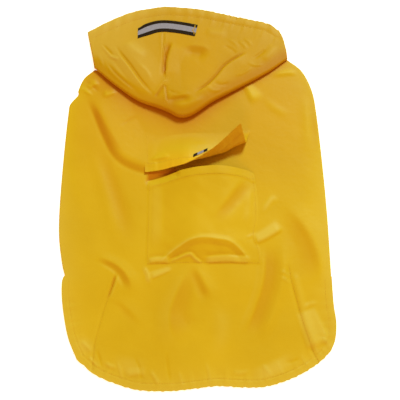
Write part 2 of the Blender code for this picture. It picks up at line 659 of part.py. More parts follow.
def pocket():
    """The patch pocket: sewn down on three sides, standing off the back, with a thicker mouth."""
    plan = pocket_plan(POCKET_COLUMNS, POCKET_ROWS)
    u, v = np.meshgrid(POCKET_COLUMNS, POCKET_ROWS)
    flat = step(0, 0.2, np.minimum(u, 1 - u))
    rise = POCKET_FULLNESS * step(0, 0.3, v) + POCKET_MOUTH_RISE * step(0.55, 1, v)
    inside = step(0.03, 0.2, np.minimum(u, 1 - u)) * step(0.02, 0.12, v)
    relief = folds(plan[..., 0], plan[..., 1], POCKET_FOLDS) * inside
    points, faces = merged([raised(plan, lying_height(plan) + flat * rise + relief)])
    mouth = distance(points[:, 0], points[:, 1], curve(POCKET_MOUTH, 60))
    hem = 1 - step(POCKET_HEM - 2, POCKET_HEM, mouth)
    sewn = step(0.5, 2.5, points[:, 2] - lying_height(points[:, :2]))
    return wall(points, faces, CLOTH + (HEM_CLOTH - CLOTH) * hem * sewn)


def flap_surface(across, along):
    """The flap's middle surface, by shares of its width and of its length from the sewn edge.

    The shares of the length are a column, or a grid. Each strip of the flap is a profile whose
    angle is summed along its length: it rises to the lift near the sewn edge, loses the droop
    evenly, and gains the curl over a short bend towards the lip.
    """
    hinge = read_at(FLAP_HINGE, across)
    share, *columns = np.array(FLAP_SHAPE, float).T
    length, lift, droop, curl, bend = (np.interp(across, share, column)[None] for column in columns)
    steps = 400
    fine = np.linspace(0, 1, steps + 1)[:, None]
    angle = np.radians(
        lift * step(0, 0.3, fine) - droop * fine + curl * step(bend, bend + 0.2, fine)
    )
    run = np.cumsum(np.cos(angle), axis=0) * length / steps
    climb = np.cumsum(np.sin(angle), axis=0) * length / steps
    along = along + 0 * across
    pick = np.round(along * steps).astype(int)
    drift = np.interp(across, [0, 1], FLAP_DRIFT)[None]
    x = hinge[None, :, 0] + drift * along
    y = hinge[None, :, 1] - np.take_along_axis(run, pick, 0) + run[0]
    plan = np.stack([x, y], axis=-1)
    high = lying_height(hinge)[None] + np.take_along_axis(climb, pick, 0) - climb[0]
    return raised(plan, np.maximum(high, lying_height(plan) + COARSE))


def pocket_flap():
    """The flap: one wall from the sewn edge to its lip."""
    points, faces = merged([flap_surface(FLAP_ACROSS, FLAP_ALONG[:, None])[::-1]])
    return wall(points, faces, CLOTH)


def tab_on_flap():
    """The short tape tab: points of the flap's surface in a slanted strip by its lip, moved out."""
    across = TAB_MIDDLE[0] + np.linspace(-TAB_HALF, TAB_HALF, 5)
    middle = TAB_MIDDLE[1] + TAB_SLANT * (across - TAB_MIDDLE[0])
    along = middle[None] + np.linspace(-TAB_LENGTH / 2, TAB_LENGTH / 2, 3)[:, None]
    points, faces = merged([flap_surface(across, along)[::-1]])
    normals = point_normals(points, faces)
    near = CLOTH / 2 + SEAM_GAP + COARSE
    return closed(points + normals * (near + TAPE_THICKNESS), points + normals * near, faces)


def build():
    """Clear the scene and make every piece."""
    for old in list(bpy.data.objects):
        bpy.data.objects.remove(old)
    cloth = cloth_material("coated_cloth", (0.73, 0.43, 0.02), 0.35)
    tape = cloth_material("reflective_tape", (0.3, 0.3, 0.3), 0.45)
    add_piece("back_panel", *back_panel(), cloth)
    add_piece("belly_panel", *belly_panel(), cloth)
    add_piece("hood_left", *hood_half(-1), cloth)
    add_piece("hood_right", *hood_half(1), cloth)
    add_piece("hood_folded_layers", *hood_folded_layers(), cloth)
    add_piece("hood_tape", *tape_on_hood(), tape)
    add_piece("pocket", *pocket(), cloth)
    add_piece("pocket_flap", *pocket_flap(), cloth)
    add_piece("flap_tab", *tab_on_flap(), tape)


build()
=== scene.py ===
"""Looks of a hooded dog raincoat that lies flat with its back up.

Tables and sizes are in millimetres, in plan: +X to the coat's right, +Y from the rump to the hood,
+Z up. MM turns them into metres when a mesh is made. Every cloth piece is a thin shell: a middle
surface on a grid, moved half the cloth's thickness to both sides.
"""

import json

import bmesh
import bpy
import numpy as np
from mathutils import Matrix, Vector

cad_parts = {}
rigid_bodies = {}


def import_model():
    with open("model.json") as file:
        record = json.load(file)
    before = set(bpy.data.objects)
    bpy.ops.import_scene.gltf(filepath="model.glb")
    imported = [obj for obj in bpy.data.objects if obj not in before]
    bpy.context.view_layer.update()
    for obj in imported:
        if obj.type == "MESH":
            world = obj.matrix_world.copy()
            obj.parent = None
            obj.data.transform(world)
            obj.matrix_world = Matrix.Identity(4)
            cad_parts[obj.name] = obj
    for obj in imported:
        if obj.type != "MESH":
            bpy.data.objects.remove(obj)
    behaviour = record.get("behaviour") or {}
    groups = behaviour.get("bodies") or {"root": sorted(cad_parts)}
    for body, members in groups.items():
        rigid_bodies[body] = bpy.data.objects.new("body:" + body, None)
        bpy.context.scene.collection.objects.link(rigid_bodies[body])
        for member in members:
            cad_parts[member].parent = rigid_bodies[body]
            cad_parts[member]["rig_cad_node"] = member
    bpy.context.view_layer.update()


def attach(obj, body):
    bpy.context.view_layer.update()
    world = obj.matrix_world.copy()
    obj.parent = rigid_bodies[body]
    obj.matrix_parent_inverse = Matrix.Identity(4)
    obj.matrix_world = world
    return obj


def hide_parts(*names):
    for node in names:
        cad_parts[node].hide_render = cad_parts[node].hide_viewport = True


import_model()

MM = 0.001
PLACE = (1.15, -3.0)  # moves the tables' frame to the middle of the box

# ---------------------------------------------------------------- how the tables are written

def ridge(height, right, left, line, painted_shading=None, rounding=0.6, grows=(1, 1, 0.3)):
    """A crease that rises to one edge, or sinks to a groove where its height is negative."""
    if painted_shading is None:
        return rounding, grows, [(-right, 0), (0, height), (left, 0)], line
    return rounding, grows, [(-right, 0, 0), (0, height, painted_shading), (left, 0, 0)], line


def spaced(ends, counts):
    """Shares that run through the ends, evenly spaced in each part, with a count for each part."""
    parts = [np.linspace(*pair) for pair in zip(ends, ends[1:], counts)]
    return np.concatenate([parts[0]] + [part[1:] for part in parts[1:]])


# ---------------------------------------------------------------- sizes, mm

# Cloth, and how pieces lie on each other
CLOTH = 0.5  # the coated cloth
TURNING = 0.4  # a turned layer under a hem
TURNING_LOWER = {"rump": 0.02, "pocket": 0.04, "flap": 0.03}  # from middle to middle, beyond CLOTH
INNER_CLOTH = 0.3  # the hidden folds' cloth
FLOOR_LAYER = 0.32  # middle of the layer that lies on the floor
ON_TOP = 0.62  # from a shell's middle to the middle of one sewn down on it
SEWN_FLAT = -0.06  # the same where an edge is pressed in so flat that it hardly shows
FLAP_SUNK = -0.08  # the same at the flap's sewn edge and its left edge
SEAM_GAP = 0.3  # between the underside's pieces
SEAM_CLOSED = 0.01  # between the hood's halves
SHARP_ANGLE = 1.0  # in radians: cut edges are sharper, folds rounder

# The back. Heights are those of its middle surface
FOLD_RISE = 2.2  # a side fold's height from middle to middle; it bulges by half of this
FOLD_INSET = 1.7  # from the silhouette in to where a side fold starts
BACK_EDGE = 2.8  # height at the side folds
BACK_LOWEST = 1.6  # no hollow goes lower
BACK_DOME = 1.3  # rise inside its edges
BACK_DOME_WIDTH = 28.0  # distance over which it rises
BACK_WAVES = 0.5  # height of its slow waves
BACK_EVEN_EDGE = 14.0  # creases fade out over this width at the outline
RUMP_HEIGHT = 1.2  # height at the rump's hem
RUMP_LOWEST = 0.7
RUMP_STEP = 50.0  # length over which the single layer comes down to the floor
RUMP_FRILL = 0.6  # of the hem's outline, in and out
RUMP_HEM = 10.0
HEM_RISE = 0.45  # of the rump's turned hem, and the depth of its stitched groove
HEM_GROOVE_WIDTH = 1.3
HEM_GATHERS = 0.55
HEM_GATHER_PITCH = 13
HEM_GATHER_REACH = 9
HEM_START = 0.8  # from the hem's edge in to its turned layer
HEM_LOWEST = 0.24  # no part of that layer's middle goes lower
DART_DEPTH = 0.9
DART_WIDTH = 1.6

# The belly
BELLY_HEM = 7.0
BINDING = (2.6, 0.45)  # half width and half thickness of a leg hole's binding
BINDING_OUT = 2.0  # from the hole's edge out to the binding's middle
BINDING_HEIGHT = 0.75
BINDING_WAVES = 0.08

# The hood. Heights are those of its middle surface
HOOD_LOW = 2.9  # height at the ends of its opening
HOOD_MOUTH_SAG = 0.9  # lower by this in the opening's middle
HOOD_ROLL_LOW = 7.0  # height at the ends of its rolled edge
HOOD_ROLL_MORE = 5.5  # higher by this in the rolled edge's middle
HOOD_LOWEST = 1.7  # no hollow goes lower
HOOD_TIP = (-12.0, 116.0)  # the tip of the rolled edge
HOOD_TIP_SIZE = (34.0, 24.0)
HOOD_TIP_MORE = 2.6  # higher by this round it
ROLL_BULGE = 1.6  # of the rolled edge at its ends
ROLL_BULGE_MORE = 2.6  # more by this in its middle
SIDE_BULGE = 1.6  # of the side folds
BULGE_ROOM = 0.6  # from a bulge's end to the silhouette
SEAM_GROOVE = (0.4, 1.2)  # depth and width of the centre seam
SEAM_RIDGES = (0.25, 1.6, 3)  # height and width of the ridges beside it, and how far off they are
CASING = 13.0  # width of the elastic casing at the opening
CASING_PUFF = 0.7
CASING_GROOVE = 0.2
CASING_GROOVE_WIDTH = 1.8
PUCKER_RISE = 0.25
PUCKER_PITCH = 8.5
PUCKER_REACH = 9
GATHER_RISE = 0.3  # of the soft folds by the opening
GATHER_PITCH = 19.0
GATHER_REACH = 27.0
INNER_OVER_BACK = 1.0  # where the room for the hidden layers starts
INNER_OVER_FLOOR = 0.9
INNER_BELOW = 1.6  # the room ends this far below the crown's middle
INNER_ROOM = 0.9  # its least height
INNER_LEVELS = (0.06, 0.42)  # shares of it at which the first layer lies, and between layers

# The pocket and its flap
POCKET_WIDTH = 140.0
POCKET_LENGTH = 120.0
POCKET_FULLNESS = 8.5
POCKET_MOUTH_RISE = 3.0  # more at the mouth
POCKET_HEM = 11.0
POCKET_HEM_RISE = 0.5
POCKET_GROOVE = 0.08
POCKET_SEAM = 3.2  # from its side edges in to their seams
POCKET_SEAM_RISE = 0.35
POCKET_WAVES = 0.35
FLAP_LENGTH = 54.0
FLAP_HEM = 11.0
FLAP_HEM_RISE = 0.12
FLAP_WAVES = 0.25

# Tape and stitches
TAPE_WIDTH = 18.0
TAPE_THICKNESS = 0.5
TAPE_LIFT = 0.12  # gap between the tape and the hood's cloth
TAB_LIFT = 0.45  # the same for the tab on the flap
THREAD = 0.42  # its thickness
THREAD_LIFT = 0.05  # of a thread's middle over the cloth
FLAP_THREAD_LIFT = 0.06  # the same on the flap
TAPE_THREAD_LIFT = 0.16  # the same on the tape
TACK_LIFT = 0.3  # the same for the tack at the tape's right end
THREAD_END_LIFT = 0.5
THREAD_END_CLIMB = 0.4
STITCH_PITCH = 3.2
STITCH_SHARE = 0.74  # of the pitch that a stitch covers
STITCH_ARCH = 0.12
TAPE_STITCH_PITCH = 2.6
ONE_STITCH = 1000.0  # a pitch that gives one stitch for the whole line
HEM_STITCHES = 1.2  # from the rump's turned hem's inner edge out to its stitches
DART_STITCHES = 1.8  # from a dart, a seam or an edge to its stitches
SEAM_STITCHES = 1.9
TAPE_STITCHES = 1.2
SIDE_STITCHES = 2.0
LEG_STITCHES = 3.4
UNDER_STITCHES = 0.08  # height of the underside's stitches, just in the cloth

# Outlines. Columns: x, y. Side rows run from the neck to the rump's corner.
LEFT_SIDE = [
    (-133, 163), (-147, 150), (-154, 132), (-153.5, 126.5), (-163.3, 113.5), (-165.2, 101), (-168, 48),
    (-170, -20), (-169, -63), (-163.6, -98), (-159.5, -113), (-162, -123), (-160, -150), (-152, -187),
    (-140, -214.5),
]
RIGHT_SIDE = [
    (120, 177.5), (139, 160.5), (151, 132.5), (155.5, 101), (160, 35), (163.2, -37), (164.5, -113),
    (165.3, -147), (167.5, -170), (165.5, -190), (160, -203.5),
]
LEFT_FOLDED = 11  # table rows from the neck to the belly's hem, where the side fold ends
RIGHT_FOLDED = 7  # the same on the right
RUMP = [
    (-140, -214.5), (-117, -232.5), (-88, -244.2), (-65, -249.8), (-32, -250.8), (-2, -248),
    (25, -245), (57, -246.5), (84, -245), (116, -234.5), (143, -219), (160, -203.5),
]
NECK = [(-133, 163), (-62, 140), (0, 131), (60, 147), (120, 177.5)]
HOOD_OPENING = [
    (-145.5, 218), (-115, 235.5), (-83, 249.2), (-42, 257), (5, 252.9), (50, 242.8), (80, 236),
    (99, 230.8), (110.5, 221.5),
]
HOOD_ROLL = [
    (-134, 164), (-109, 140.8), (-77, 116.5), (-50, 105.2), (-36, 98.8), (-21, 91.5), (-4, 95.2),
    (23, 114.8), (52, 131.5), (94, 157), (120.5, 177.5),
]
HOOD_LEFT_EDGE = [(-134, 164), (-137.5, 181), (-141.5, 199), (-145.5, 218)]
HOOD_RIGHT_EDGE = [(120.5, 177.5), (119.7, 188), (118, 198), (115.5, 210), (110.5, 221.5)]
CENTRE_SEAM = [(-36, 100.5), (-39.5, 120), (-41, 165), (-44, 213), (-42, 257)]
LEFT_POINTS = {"roll": 5, "opening": 4}  # table rows from the left as far as the centre seam
# How far the cloth under the rolled edge runs back. Columns: x, length
RETURN = [(-134, 4), (-110, 10), (-90, 15), (-62, 23), (-21, 31), (20, 17), (52, 9), (80, 6), (118, 4)]
THROAT_FRONT = (-10.0, 184.0)  # x of the throat seam, and y where it ends
LAYERS_ACROSS = (0.15, 0.85)  # the hidden folds' reach, in shares of the hood
LAYERS_UP = (0.085, 0.72)
LEFT_SEAM = [(-114, -113), (-121, -40), (-120, 60), (-114, 110), (-92, 153.5)]
RIGHT_SEAM = [(118, -113), (116, -40), (111, 60), (105, 110), (78, 162)]
NECKLINE = [(-132, 163.2), (-92, 153.5), (-10, 146), (78, 162), (119, 177.6)]
BELLY_HEM_SIDE = -113.0  # y of the belly's hem at the side seams
BELLY_HEM_ARCH = 24.0  # higher by this in the middle
# Columns: centre x, centre y, half width, half length
LEG_HOLES = [(-72.0, 82.0, 26.0, 31.0), (66.0, 84.0, 26.0, 31.0)]
POCKET_FOOT = [(-62, -102.5), (-5, -100.5), (81, -101.5)]
POCKET_MOUTH = [(-61, 7.5), (-43, 11.5), (-14, 19.5), (19, 23.5), (46, 23), (64, 20.5), (73, 16.5)]
POCKET_RIGHT = [(81, -101.5), (79.5, -84), (73.5, -63), (77, -42), (76.5, -12), (73, 16.5)]
FLAP_HINGE = [(-67, 71), (0, 76.5), (70, 80)]
FLAP_DRIFT = (3.0, -14.0)  # to the right along its length, at its left and right ends
# Columns: share of the width, length, lift, droop and curl in degrees, and where the curl starts
FLAP_SHAPE = [
    (0.00, 53.0, 10, 12, 0, 0.80), (0.15, 53.0, 13, 14, 0, 0.80), (0.30, 53.0, 21.5, 14, -4, 0.80),
    (0.42, 54.0, 26.5, 12, 10, 0.80), (0.50, 54.5, 23.5, 10, 55, 0.76), (0.56, 54.5, 20.5, 10, 80, 0.74),
    (0.64, 54.5, 18, 13, 100, 0.68), (0.74, 54.5, 15, 15, 115, 0.61), (0.85, 54.5, 17, 9, 126, 0.54),
    (1.00, 54.5, 34, 8, 110, 0.42),
]
TAPE_LINE = [(-77.5, 214.5), (-59, 223), (-44, 226), (-23, 224), (0, 219)]
TAPE_SLANTED = 0.2  # share of its length over which its threads turn to the upright left end
TAPE_END = 0.88  # share of its width that is seen at that end
TAB_MIDDLE = (0.56, 0.665)  # shares of the flap's width and length
TAB_LENGTH = 0.07  # share of the flap's length
TAB_SLANT = -1.45  # shares of the length for each share of the width
THREAD_ENDS = [  # x and y of the root, and the way to the tip
    (45.2, 238.5, 2.7, 4.5), (53.2, 237.0, 4.1, 3.8), (97.1, 226.4, 3.5, 4.5),
    (111.0, 218.5, 4.1, 4.5), (-128.7, -221.7, -4.6, -2.9), (-141.2, -205.4, -4.5, -3.5),
]
TAPE_TACK = [  # the zigzag tack at the tape's right end
    (-1.5, 227.0), (-2.2, 222.5), (-5.2, 219.0), (-2.8, 216.0), (-3.2, 212.5),
]
TACK_STRANDS = (-0.45, 0, 0.45)  # to the right of its line

# Colours: each cloth is cloudy between two; roughness is from and to
YELLOW = ((0.69, 0.43, 0.010), (0.765, 0.492, 0.013))
# the hood's copy of the back's cloth, darker and more orange: painted shade
HOOD_SHADED_YELLOW = ((0.58, 0.31, 0.003), (0.66, 0.355, 0.004))
INSIDE_YELLOW = ((0.5, 0.25, 0.006), (0.6, 0.31, 0.009))
# the cloth's uncoated underside, deeper and more orange than the coated face: partly the uncoated side's
# own colour, partly painted shade
UNDERSIDE_YELLOW = ((0.58, 0.30, 0.004), (0.65, 0.34, 0.005))
THREAD_YELLOW = (0.76, 0.45, 0.01)
THREAD_BLACK = (0.015, 0.014, 0.013)
TAPE_BLACK = (0.02, 0.009, 0.003, 1)
TAPE_SILVER = (0.325, 0.306, 0.449, 1)
TAPE_SILVER_FROM = 0.28  # share of the tape's width where the silver middle starts
TAPE_SILVER_TO = 0.735
COATED = (0.36, 0.5)
UNCOATED = (0.5, 0.62)

# Painted shading: a point attribute that paints shade (deeper, more orange) and highlights and sheen
# (paler) into the plain colour
PAINTED_SHADE = (0.84, 0.46, 0.3)  # of the plain colour, where the tint is 1
PAINTED_HIGHLIGHT = (0.3, 0.3, 0.12)  # of the way to white, where the tint is -1
# a warmer painted highlight colour, for painted light on the flap
FLAP_PAINTED_HIGHLIGHT = (0.75, 0.02, 0.0)  # the same on the flap
# painted shade in hollows and painted highlight on ridges, for each millimetre of height where a section
# gives none
HOLLOW_PAINTED_SHADE = 0.16  # tint for each millimetre of a hollow
# painted shade, deeper and more orange, over the upper back and the flap
YOKE_PAINTED_SHADE = 0.28  # from the rump's end of the pocket up to the neck
YOKE_FADE = (-60, 110)  # y over which it comes in
# painted sheen, paler, by the back's outline and the hood's opening
RIM_PAINTED_SHEEN = -0.3  # by the outer edges, fading over the width
RIM_WIDTH = 14
# painted shade on the hood's rolled edge, which faces away from the light
ROLL_PAINTED_SHADE = 0.45  # on the hood's rolled edge
# painted light, paler, on the hood's left
SIDE_PAINTED_LIGHT = -0.25  # on the hood's left
# painted light, paler and warmer, towards the flap's lip on its left
FLAP_LIP_PAINTED_LIGHT = -0.9  # at the flap's lip
# a painted shadow on the back beneath the hood's rolled edge, narrower on the right
UNDER_ROLL_PAINTED_SHADOW = 0.75  # on the back, by the hood's rolled edge
UNDER_ROLL_SHADOW_REACH = (12, 8.5)  # its width, and how much less it is on the right

# Creases. Columns: rounding of the corners; widths at the start and end, and the share of the length
# over which it grows and fades; section as offsets from the line (positive on its left), heights and
# painted shading (painted shade where positive, by default more in hollows; painted highlight where
# negative); the x and y of the line's points. A ridge has its height, its widths to the right and
# left, its line, and its painted shading where it is given.
BACK_CREASES = [
    (1.2, (0.8, 0.9, 0.2), [(-6, 0, 0), (-1, -0.4, 0), (0, -0.5, 0.3), (6, 1.8, 0.22),
     (10, 3.2, 0.04), (15, 3.5, 0), (60, 0, 0)],
     [(-145.5, 127.5), (-133.5, 102), (-124, 78.5), (-115.5, 59), (-106.5, 42.5), (-94.5, 30.5),
      (-80.5, 23), (-65.5, 18), (-45, 14.5), (-17.5, 10.5)]),
    # a band of painted shade alone, without relief, along the yoke's left fold
    (1.2, (0.4, 1.2, 0.3), [(-3, 0, 0), (0, 0, 0.2), (10, 0, 0.3), (13, 0, 0)],
     [(-140, 119), (-131.5, 99), (-123, 78.5), (-115, 62), (-107.5, 47), (-98.5, 34.5)]),
    ridge(2.0, 3, 10, [(-142, 137), (-134.5, 139), (-126.5, 142.5)], rounding=0.7),
    ridge(1.8, 4, 5, [(-152.5, 140), (-143, 131), (-134, 124)], rounding=0.7, grows=(1, 0.6, 0.3)),
    ridge(2.2, 4, 11, [(-122, 124.5), (-113, 125.5), (-103, 130)], rounding=0.7, grows=(1, 0.6, 0.3)),
    ridge(-1.5, 3, 4, [(-146.5, 148.5), (-135.5, 138.5), (-123.5, 128.5)],
          rounding=0.7, grows=(1, 0.6, 0.3)),
    ridge(-0.7, 3, 3, [(-97.5, 80.5), (-87.5, 88), (-74.5, 97)], rounding=0.7, grows=(1, 1, 0.4)),
    (4.0, (0.6, 1, 0.4), [(-16, 0, 0), (-4, 1.2, 0), (12, -1.4, 0.25), (28, 0, 0)],
     [(-132.5, 62), (-121, 24), (-109.5, -11.5), (-95.5, -59.5), (-87.5, -90)]),
    (1.5, (0.5, 1.2, 0.35), [(-6, 0, 0), (0, 1.7, -0.3), (8, 0.8, -0.35), (15, 0, 0)],
     [(61, 146.5), (68.5, 130.5), (77.5, 112.5)]),
    ridge(1.4, 5, 6, [(96.5, 152.5), (115, 157), (136, 158)], rounding=0.8, grows=(1, 1, 0.4)),
    ridge(0.9, 9, 9, [(85.5, 123.5), (103, 106.5), (123.5, 95.5)], rounding=2.5, grows=(0.6, 1, 0.4)),
    (3.0, (1, 1, 0.4), [(-10, 0), (0, 0.9), (8, -0.7), (16, 0)],
     [(141.5, 135), (143.5, 90), (143, 37.5)]),
    # a pale patch of painted highlight on a low ridge right of the pocket
    ridge(1.4, 5, 6, [(81.5, -36.5), (88, -25), (95.5, -17), (103, -22.5)],
          painted_shading=-0.45, rounding=1.4, grows=(0.8, 1, 0.4)),
    (1.0, (0.8, 1, 0.2), [(-4, 0, 0.25), (0, 2.4, -0.4), (10, 0.5, -0.4), (14, 0, 0)],
     [(70, -73.5), (86, -66.5), (107, -53.5)]),
    (2.2, (0.7, 1.1, 0.4), [(-40, 0, 0), (-24, -0.9, 0.12), (-8, 0.2, 0.34), (0, 1.8, 0.28),
     (5, 1.4, 0), (24, 0, 0)],
     [(105.5, -22), (120, -35), (134, -54.5), (144.5, -76), (149.5, -100), (148, -134.5)]),
    (1.2, (1, 0.9, 0.25), [(-12, 0, -0.1), (-3, 0.9, 0), (0, -0.8, 0.32), (9, -0.7, 0.28),
     (21, 1.5, 0), (32, 0, 0)],
     [(83.5, -74.5), (85.5, -92), (85, -109.5), (81.5, -128), (75.5, -146.5), (68, -165.5), (58, -188)]),
    ridge(1.4, 1.8, 2.2, [(100.5, -109), (108, -110.5), (115, -115.5)],
          rounding=0.5, grows=(1, 0.5, 0.3)),
    ridge(1.4, 1.8, 2.2, [(101.5, -117), (109, -119.5), (116, -125)],
          rounding=0.5, grows=(1, 0.5, 0.3)),
    (0.8, (0.7, 1.2, 0.1), [(-2, 0, 0), (4, 1.3, -0.1), (12, 0, 0)],
     [(115.5, -109.5), (121.5, -139), (128.5, -173.5), (141, -212.5)]),
    # a facet right of the right dart, paled with painted light
    (1.0, (1, 1, 0.15), [(-6, 0, 0.1), (0, 2.1, -0.15), (36, 0.5, -0.3), (40, 0, 0)],
     [(129, -198.5), (144.5, -194), (160, -187)]),
    ridge(1.2, 3, 4, [(128, -153.5), (138, -148.5), (147.5, -147.5)], grows=(1, 0.7, 0.3)),
    ridge(1.5, 3, 4, [(148, -188), (156, -195), (164, -203.5)], rounding=0.7, grows=(1, 0.6, 0.3)),
    (2.0, (0.4, 1.6, 0.35), [(-18, 0, 0), (-2, 1.5, -0.1), (0, 1.4, 0.24), (13, -0.8, 0.2), (26, 0, 0)],
     [(-4.5, -98.5), (-13, -115.5), (-22.5, -136.5), (-29.5, -158.5), (-27, -180), (-14, -198.5)]),
    (2.0, (0.6, 1, 0.35), [(-16, 0, 0), (-8, -1.4, 0.25), (0, 0.9, 0.25), (3, 0.8, -0.05), (16, 0, 0)],
     [(-2.5, -99.5), (8.5, -122), (20.5, -144)]),
    (0.6, (0.7, 1, 0.3), [(-5, 0, -0.2), (0, 1.9, -0.35), (1.8, 0, 0.15)],
     [(-64, -101), (-58, -112), (-54, -124.5)]),
    (0.6, (0.9, 0.5, 0.25), [(-2, 0, 0.15), (0, 2.1, -0.4), (9, 0.2, -0.25), (10, 0, 0)],
     [(-56.5, -118.5), (-44.5, -113.5), (-27.5, -106)]),
    ridge(0.8, 12, 12, [(23, -143.5), (31, -179.5), (21.5, -217)], rounding=3.0, grows=(1, 1, 0.4)),
    # a painted shadow in a hollow under the flap's left lip
    (1.0, (1, 1, 0.15), [(-10, 0, 0), (-4, -2.6, 0.9), (4, 0.4, 1.0), (8, 0, 0)],
     [(-64.5, 12.5), (-55, 12), (-41.5, 14), (-20, 20)]),
    (0.8, (0.7, 1.3, 0.3), [(-10, 0, -0.15), (-6, -0.9, 0.25), (0, 0.9, 0.42), (1.5, 0.9, 0),
     (12, 0, 0)],
     [(-123, -91), (-109.5, -95), (-96, -102), (-86, -112), (-79.5, -124.5), (-80.5, -135.5)]),
    (0.6, (1, 0.6, 0.25), [(-2.6, 0, 0), (0, -2.1, 0.9), (2.6, 0.6, -0.2), (6, 0, 0)],
     [(-96.5, -110.5), (-101, -127), (-106.5, -144)]),
    (0.8, (0.6, 1.1, 0.6), [(-8, 0, 0), (0, -0.6, 0.2), (6, 0.7, -0.05), (22, 0, 0)],
     [(-108, -141), (-89.5, -152), (-64, -179.5)]),
]
# crumples at the rump's hem; their third column paints highlights on them
HEM_CRUMPLES = [
    (1.8, (1, 1, 0.5), [(-10, 0, 0), (-2, 0.3, -0.22), (4, 0.2, -0.2), (12, 0, 0)],
     [(-142, -184.5), (-132, -198.5), (-119.5, -210)]),
    (1.8, (1, 1, 0.5), [(-9, 0, 0), (-2, 0.2, -0.18), (6, 0.2, -0.18), (14, 0, 0)],
     [(-103, -217), (-79.5, -224), (-53.5, -227.5)]),
    (1.8, (1, 1, 0.4), [(-9, 0, 0), (-3, 0.4, -0.3), (4, 0.5, -0.3), (10, 0, 0)],
     [(61, -234.5), (89.5, -226.5), (118, -210)]),
    ridge(0.8, 2.5, 3, [(-137, -191.5), (-129.5, -198.5), (-121, -206.5)], rounding=0.8),
    ridge(1.0, 2, 2.5, [(-127, -210), (-120.5, -217), (-113.5, -224)]),
    ridge(-1.0, 2.5, 2.5, [(-117.5, -202), (-113.5, -212.5), (-108.5, -226.5)], grows=(1, 0.6, 0.3)),
    ridge(1.1, 2, 3, [(-107.5, -217), (-100.5, -222), (-92.5, -223)]),
    ridge(1.0, 2.5, 2, [(-92.5, -215), (-88.5, -226.5), (-85, -239)], grows=(0.6, 1, 0.3)),
    (0.8, (1, 1, 0.3), [(-3, 0, 0.1), (0, 0.9, -0.15), (7, 0, -0.1), (9, 0, 0)],
     [(-82.5, -234.5), (-71, -231), (-57, -232)]),
    ridge(-1.1, 2.5, 2.5, [(-74, -209), (-66.5, -222), (-62.5, -240)], grows=(0.5, 1, 0.3)),
    ridge(1.1, 2, 3, [(-54.5, -226.5), (-48.5, -234.5), (-42.5, -245)]),
    ridge(-0.9, 2.5, 2.5, [(-35, -203), (-32.5, -224), (-28.5, -245)], grows=(0.5, 1, 0.3)),
    ridge(1.0, 2.5, 2.5, [(-21, -226.5), (-17, -236.5), (-15, -248)], grows=(0.6, 1, 0.3)),
    ridge(0.9, 3, 3, [(11, -215), (15.5, -231), (16.5, -246)], rounding=0.7, grows=(0.6, 1, 0.3)),
    ridge(0.8, 3, 3, [(42.5, -227.5), (52, -230), (62.5, -226.5)], rounding=0.7),
    ridge(1.0, 2, 2, [(76.5, -219.5), (83.5, -226.5), (90, -235.5)]),
    ridge(1.0, 2, 3, [(94.5, -215), (98.5, -224), (104, -234.5)], grows=(0.6, 1, 0.3)),
    ridge(-0.9, 2.5, 2.5, [(103.5, -217), (113, -217), (122.5, -212.5)]),
    ridge(1.1, 2, 2.5, [(123, -206.5), (127, -216), (132.5, -224)], grows=(0.6, 1, 0.3)),
    ridge(1.0, 2, 2, [(138.5, -197), (144, -205.5), (151, -212.5)]),
]
DARTS = [
    [(-98, -118), (-106, -139), (-112, -158), (-117, -179), (-121, -198), (-122, -226)],
    [(111, -100), (114, -120), (119, -141), (124, -162), (130, -184), (137, -205), (144, -219)],
]
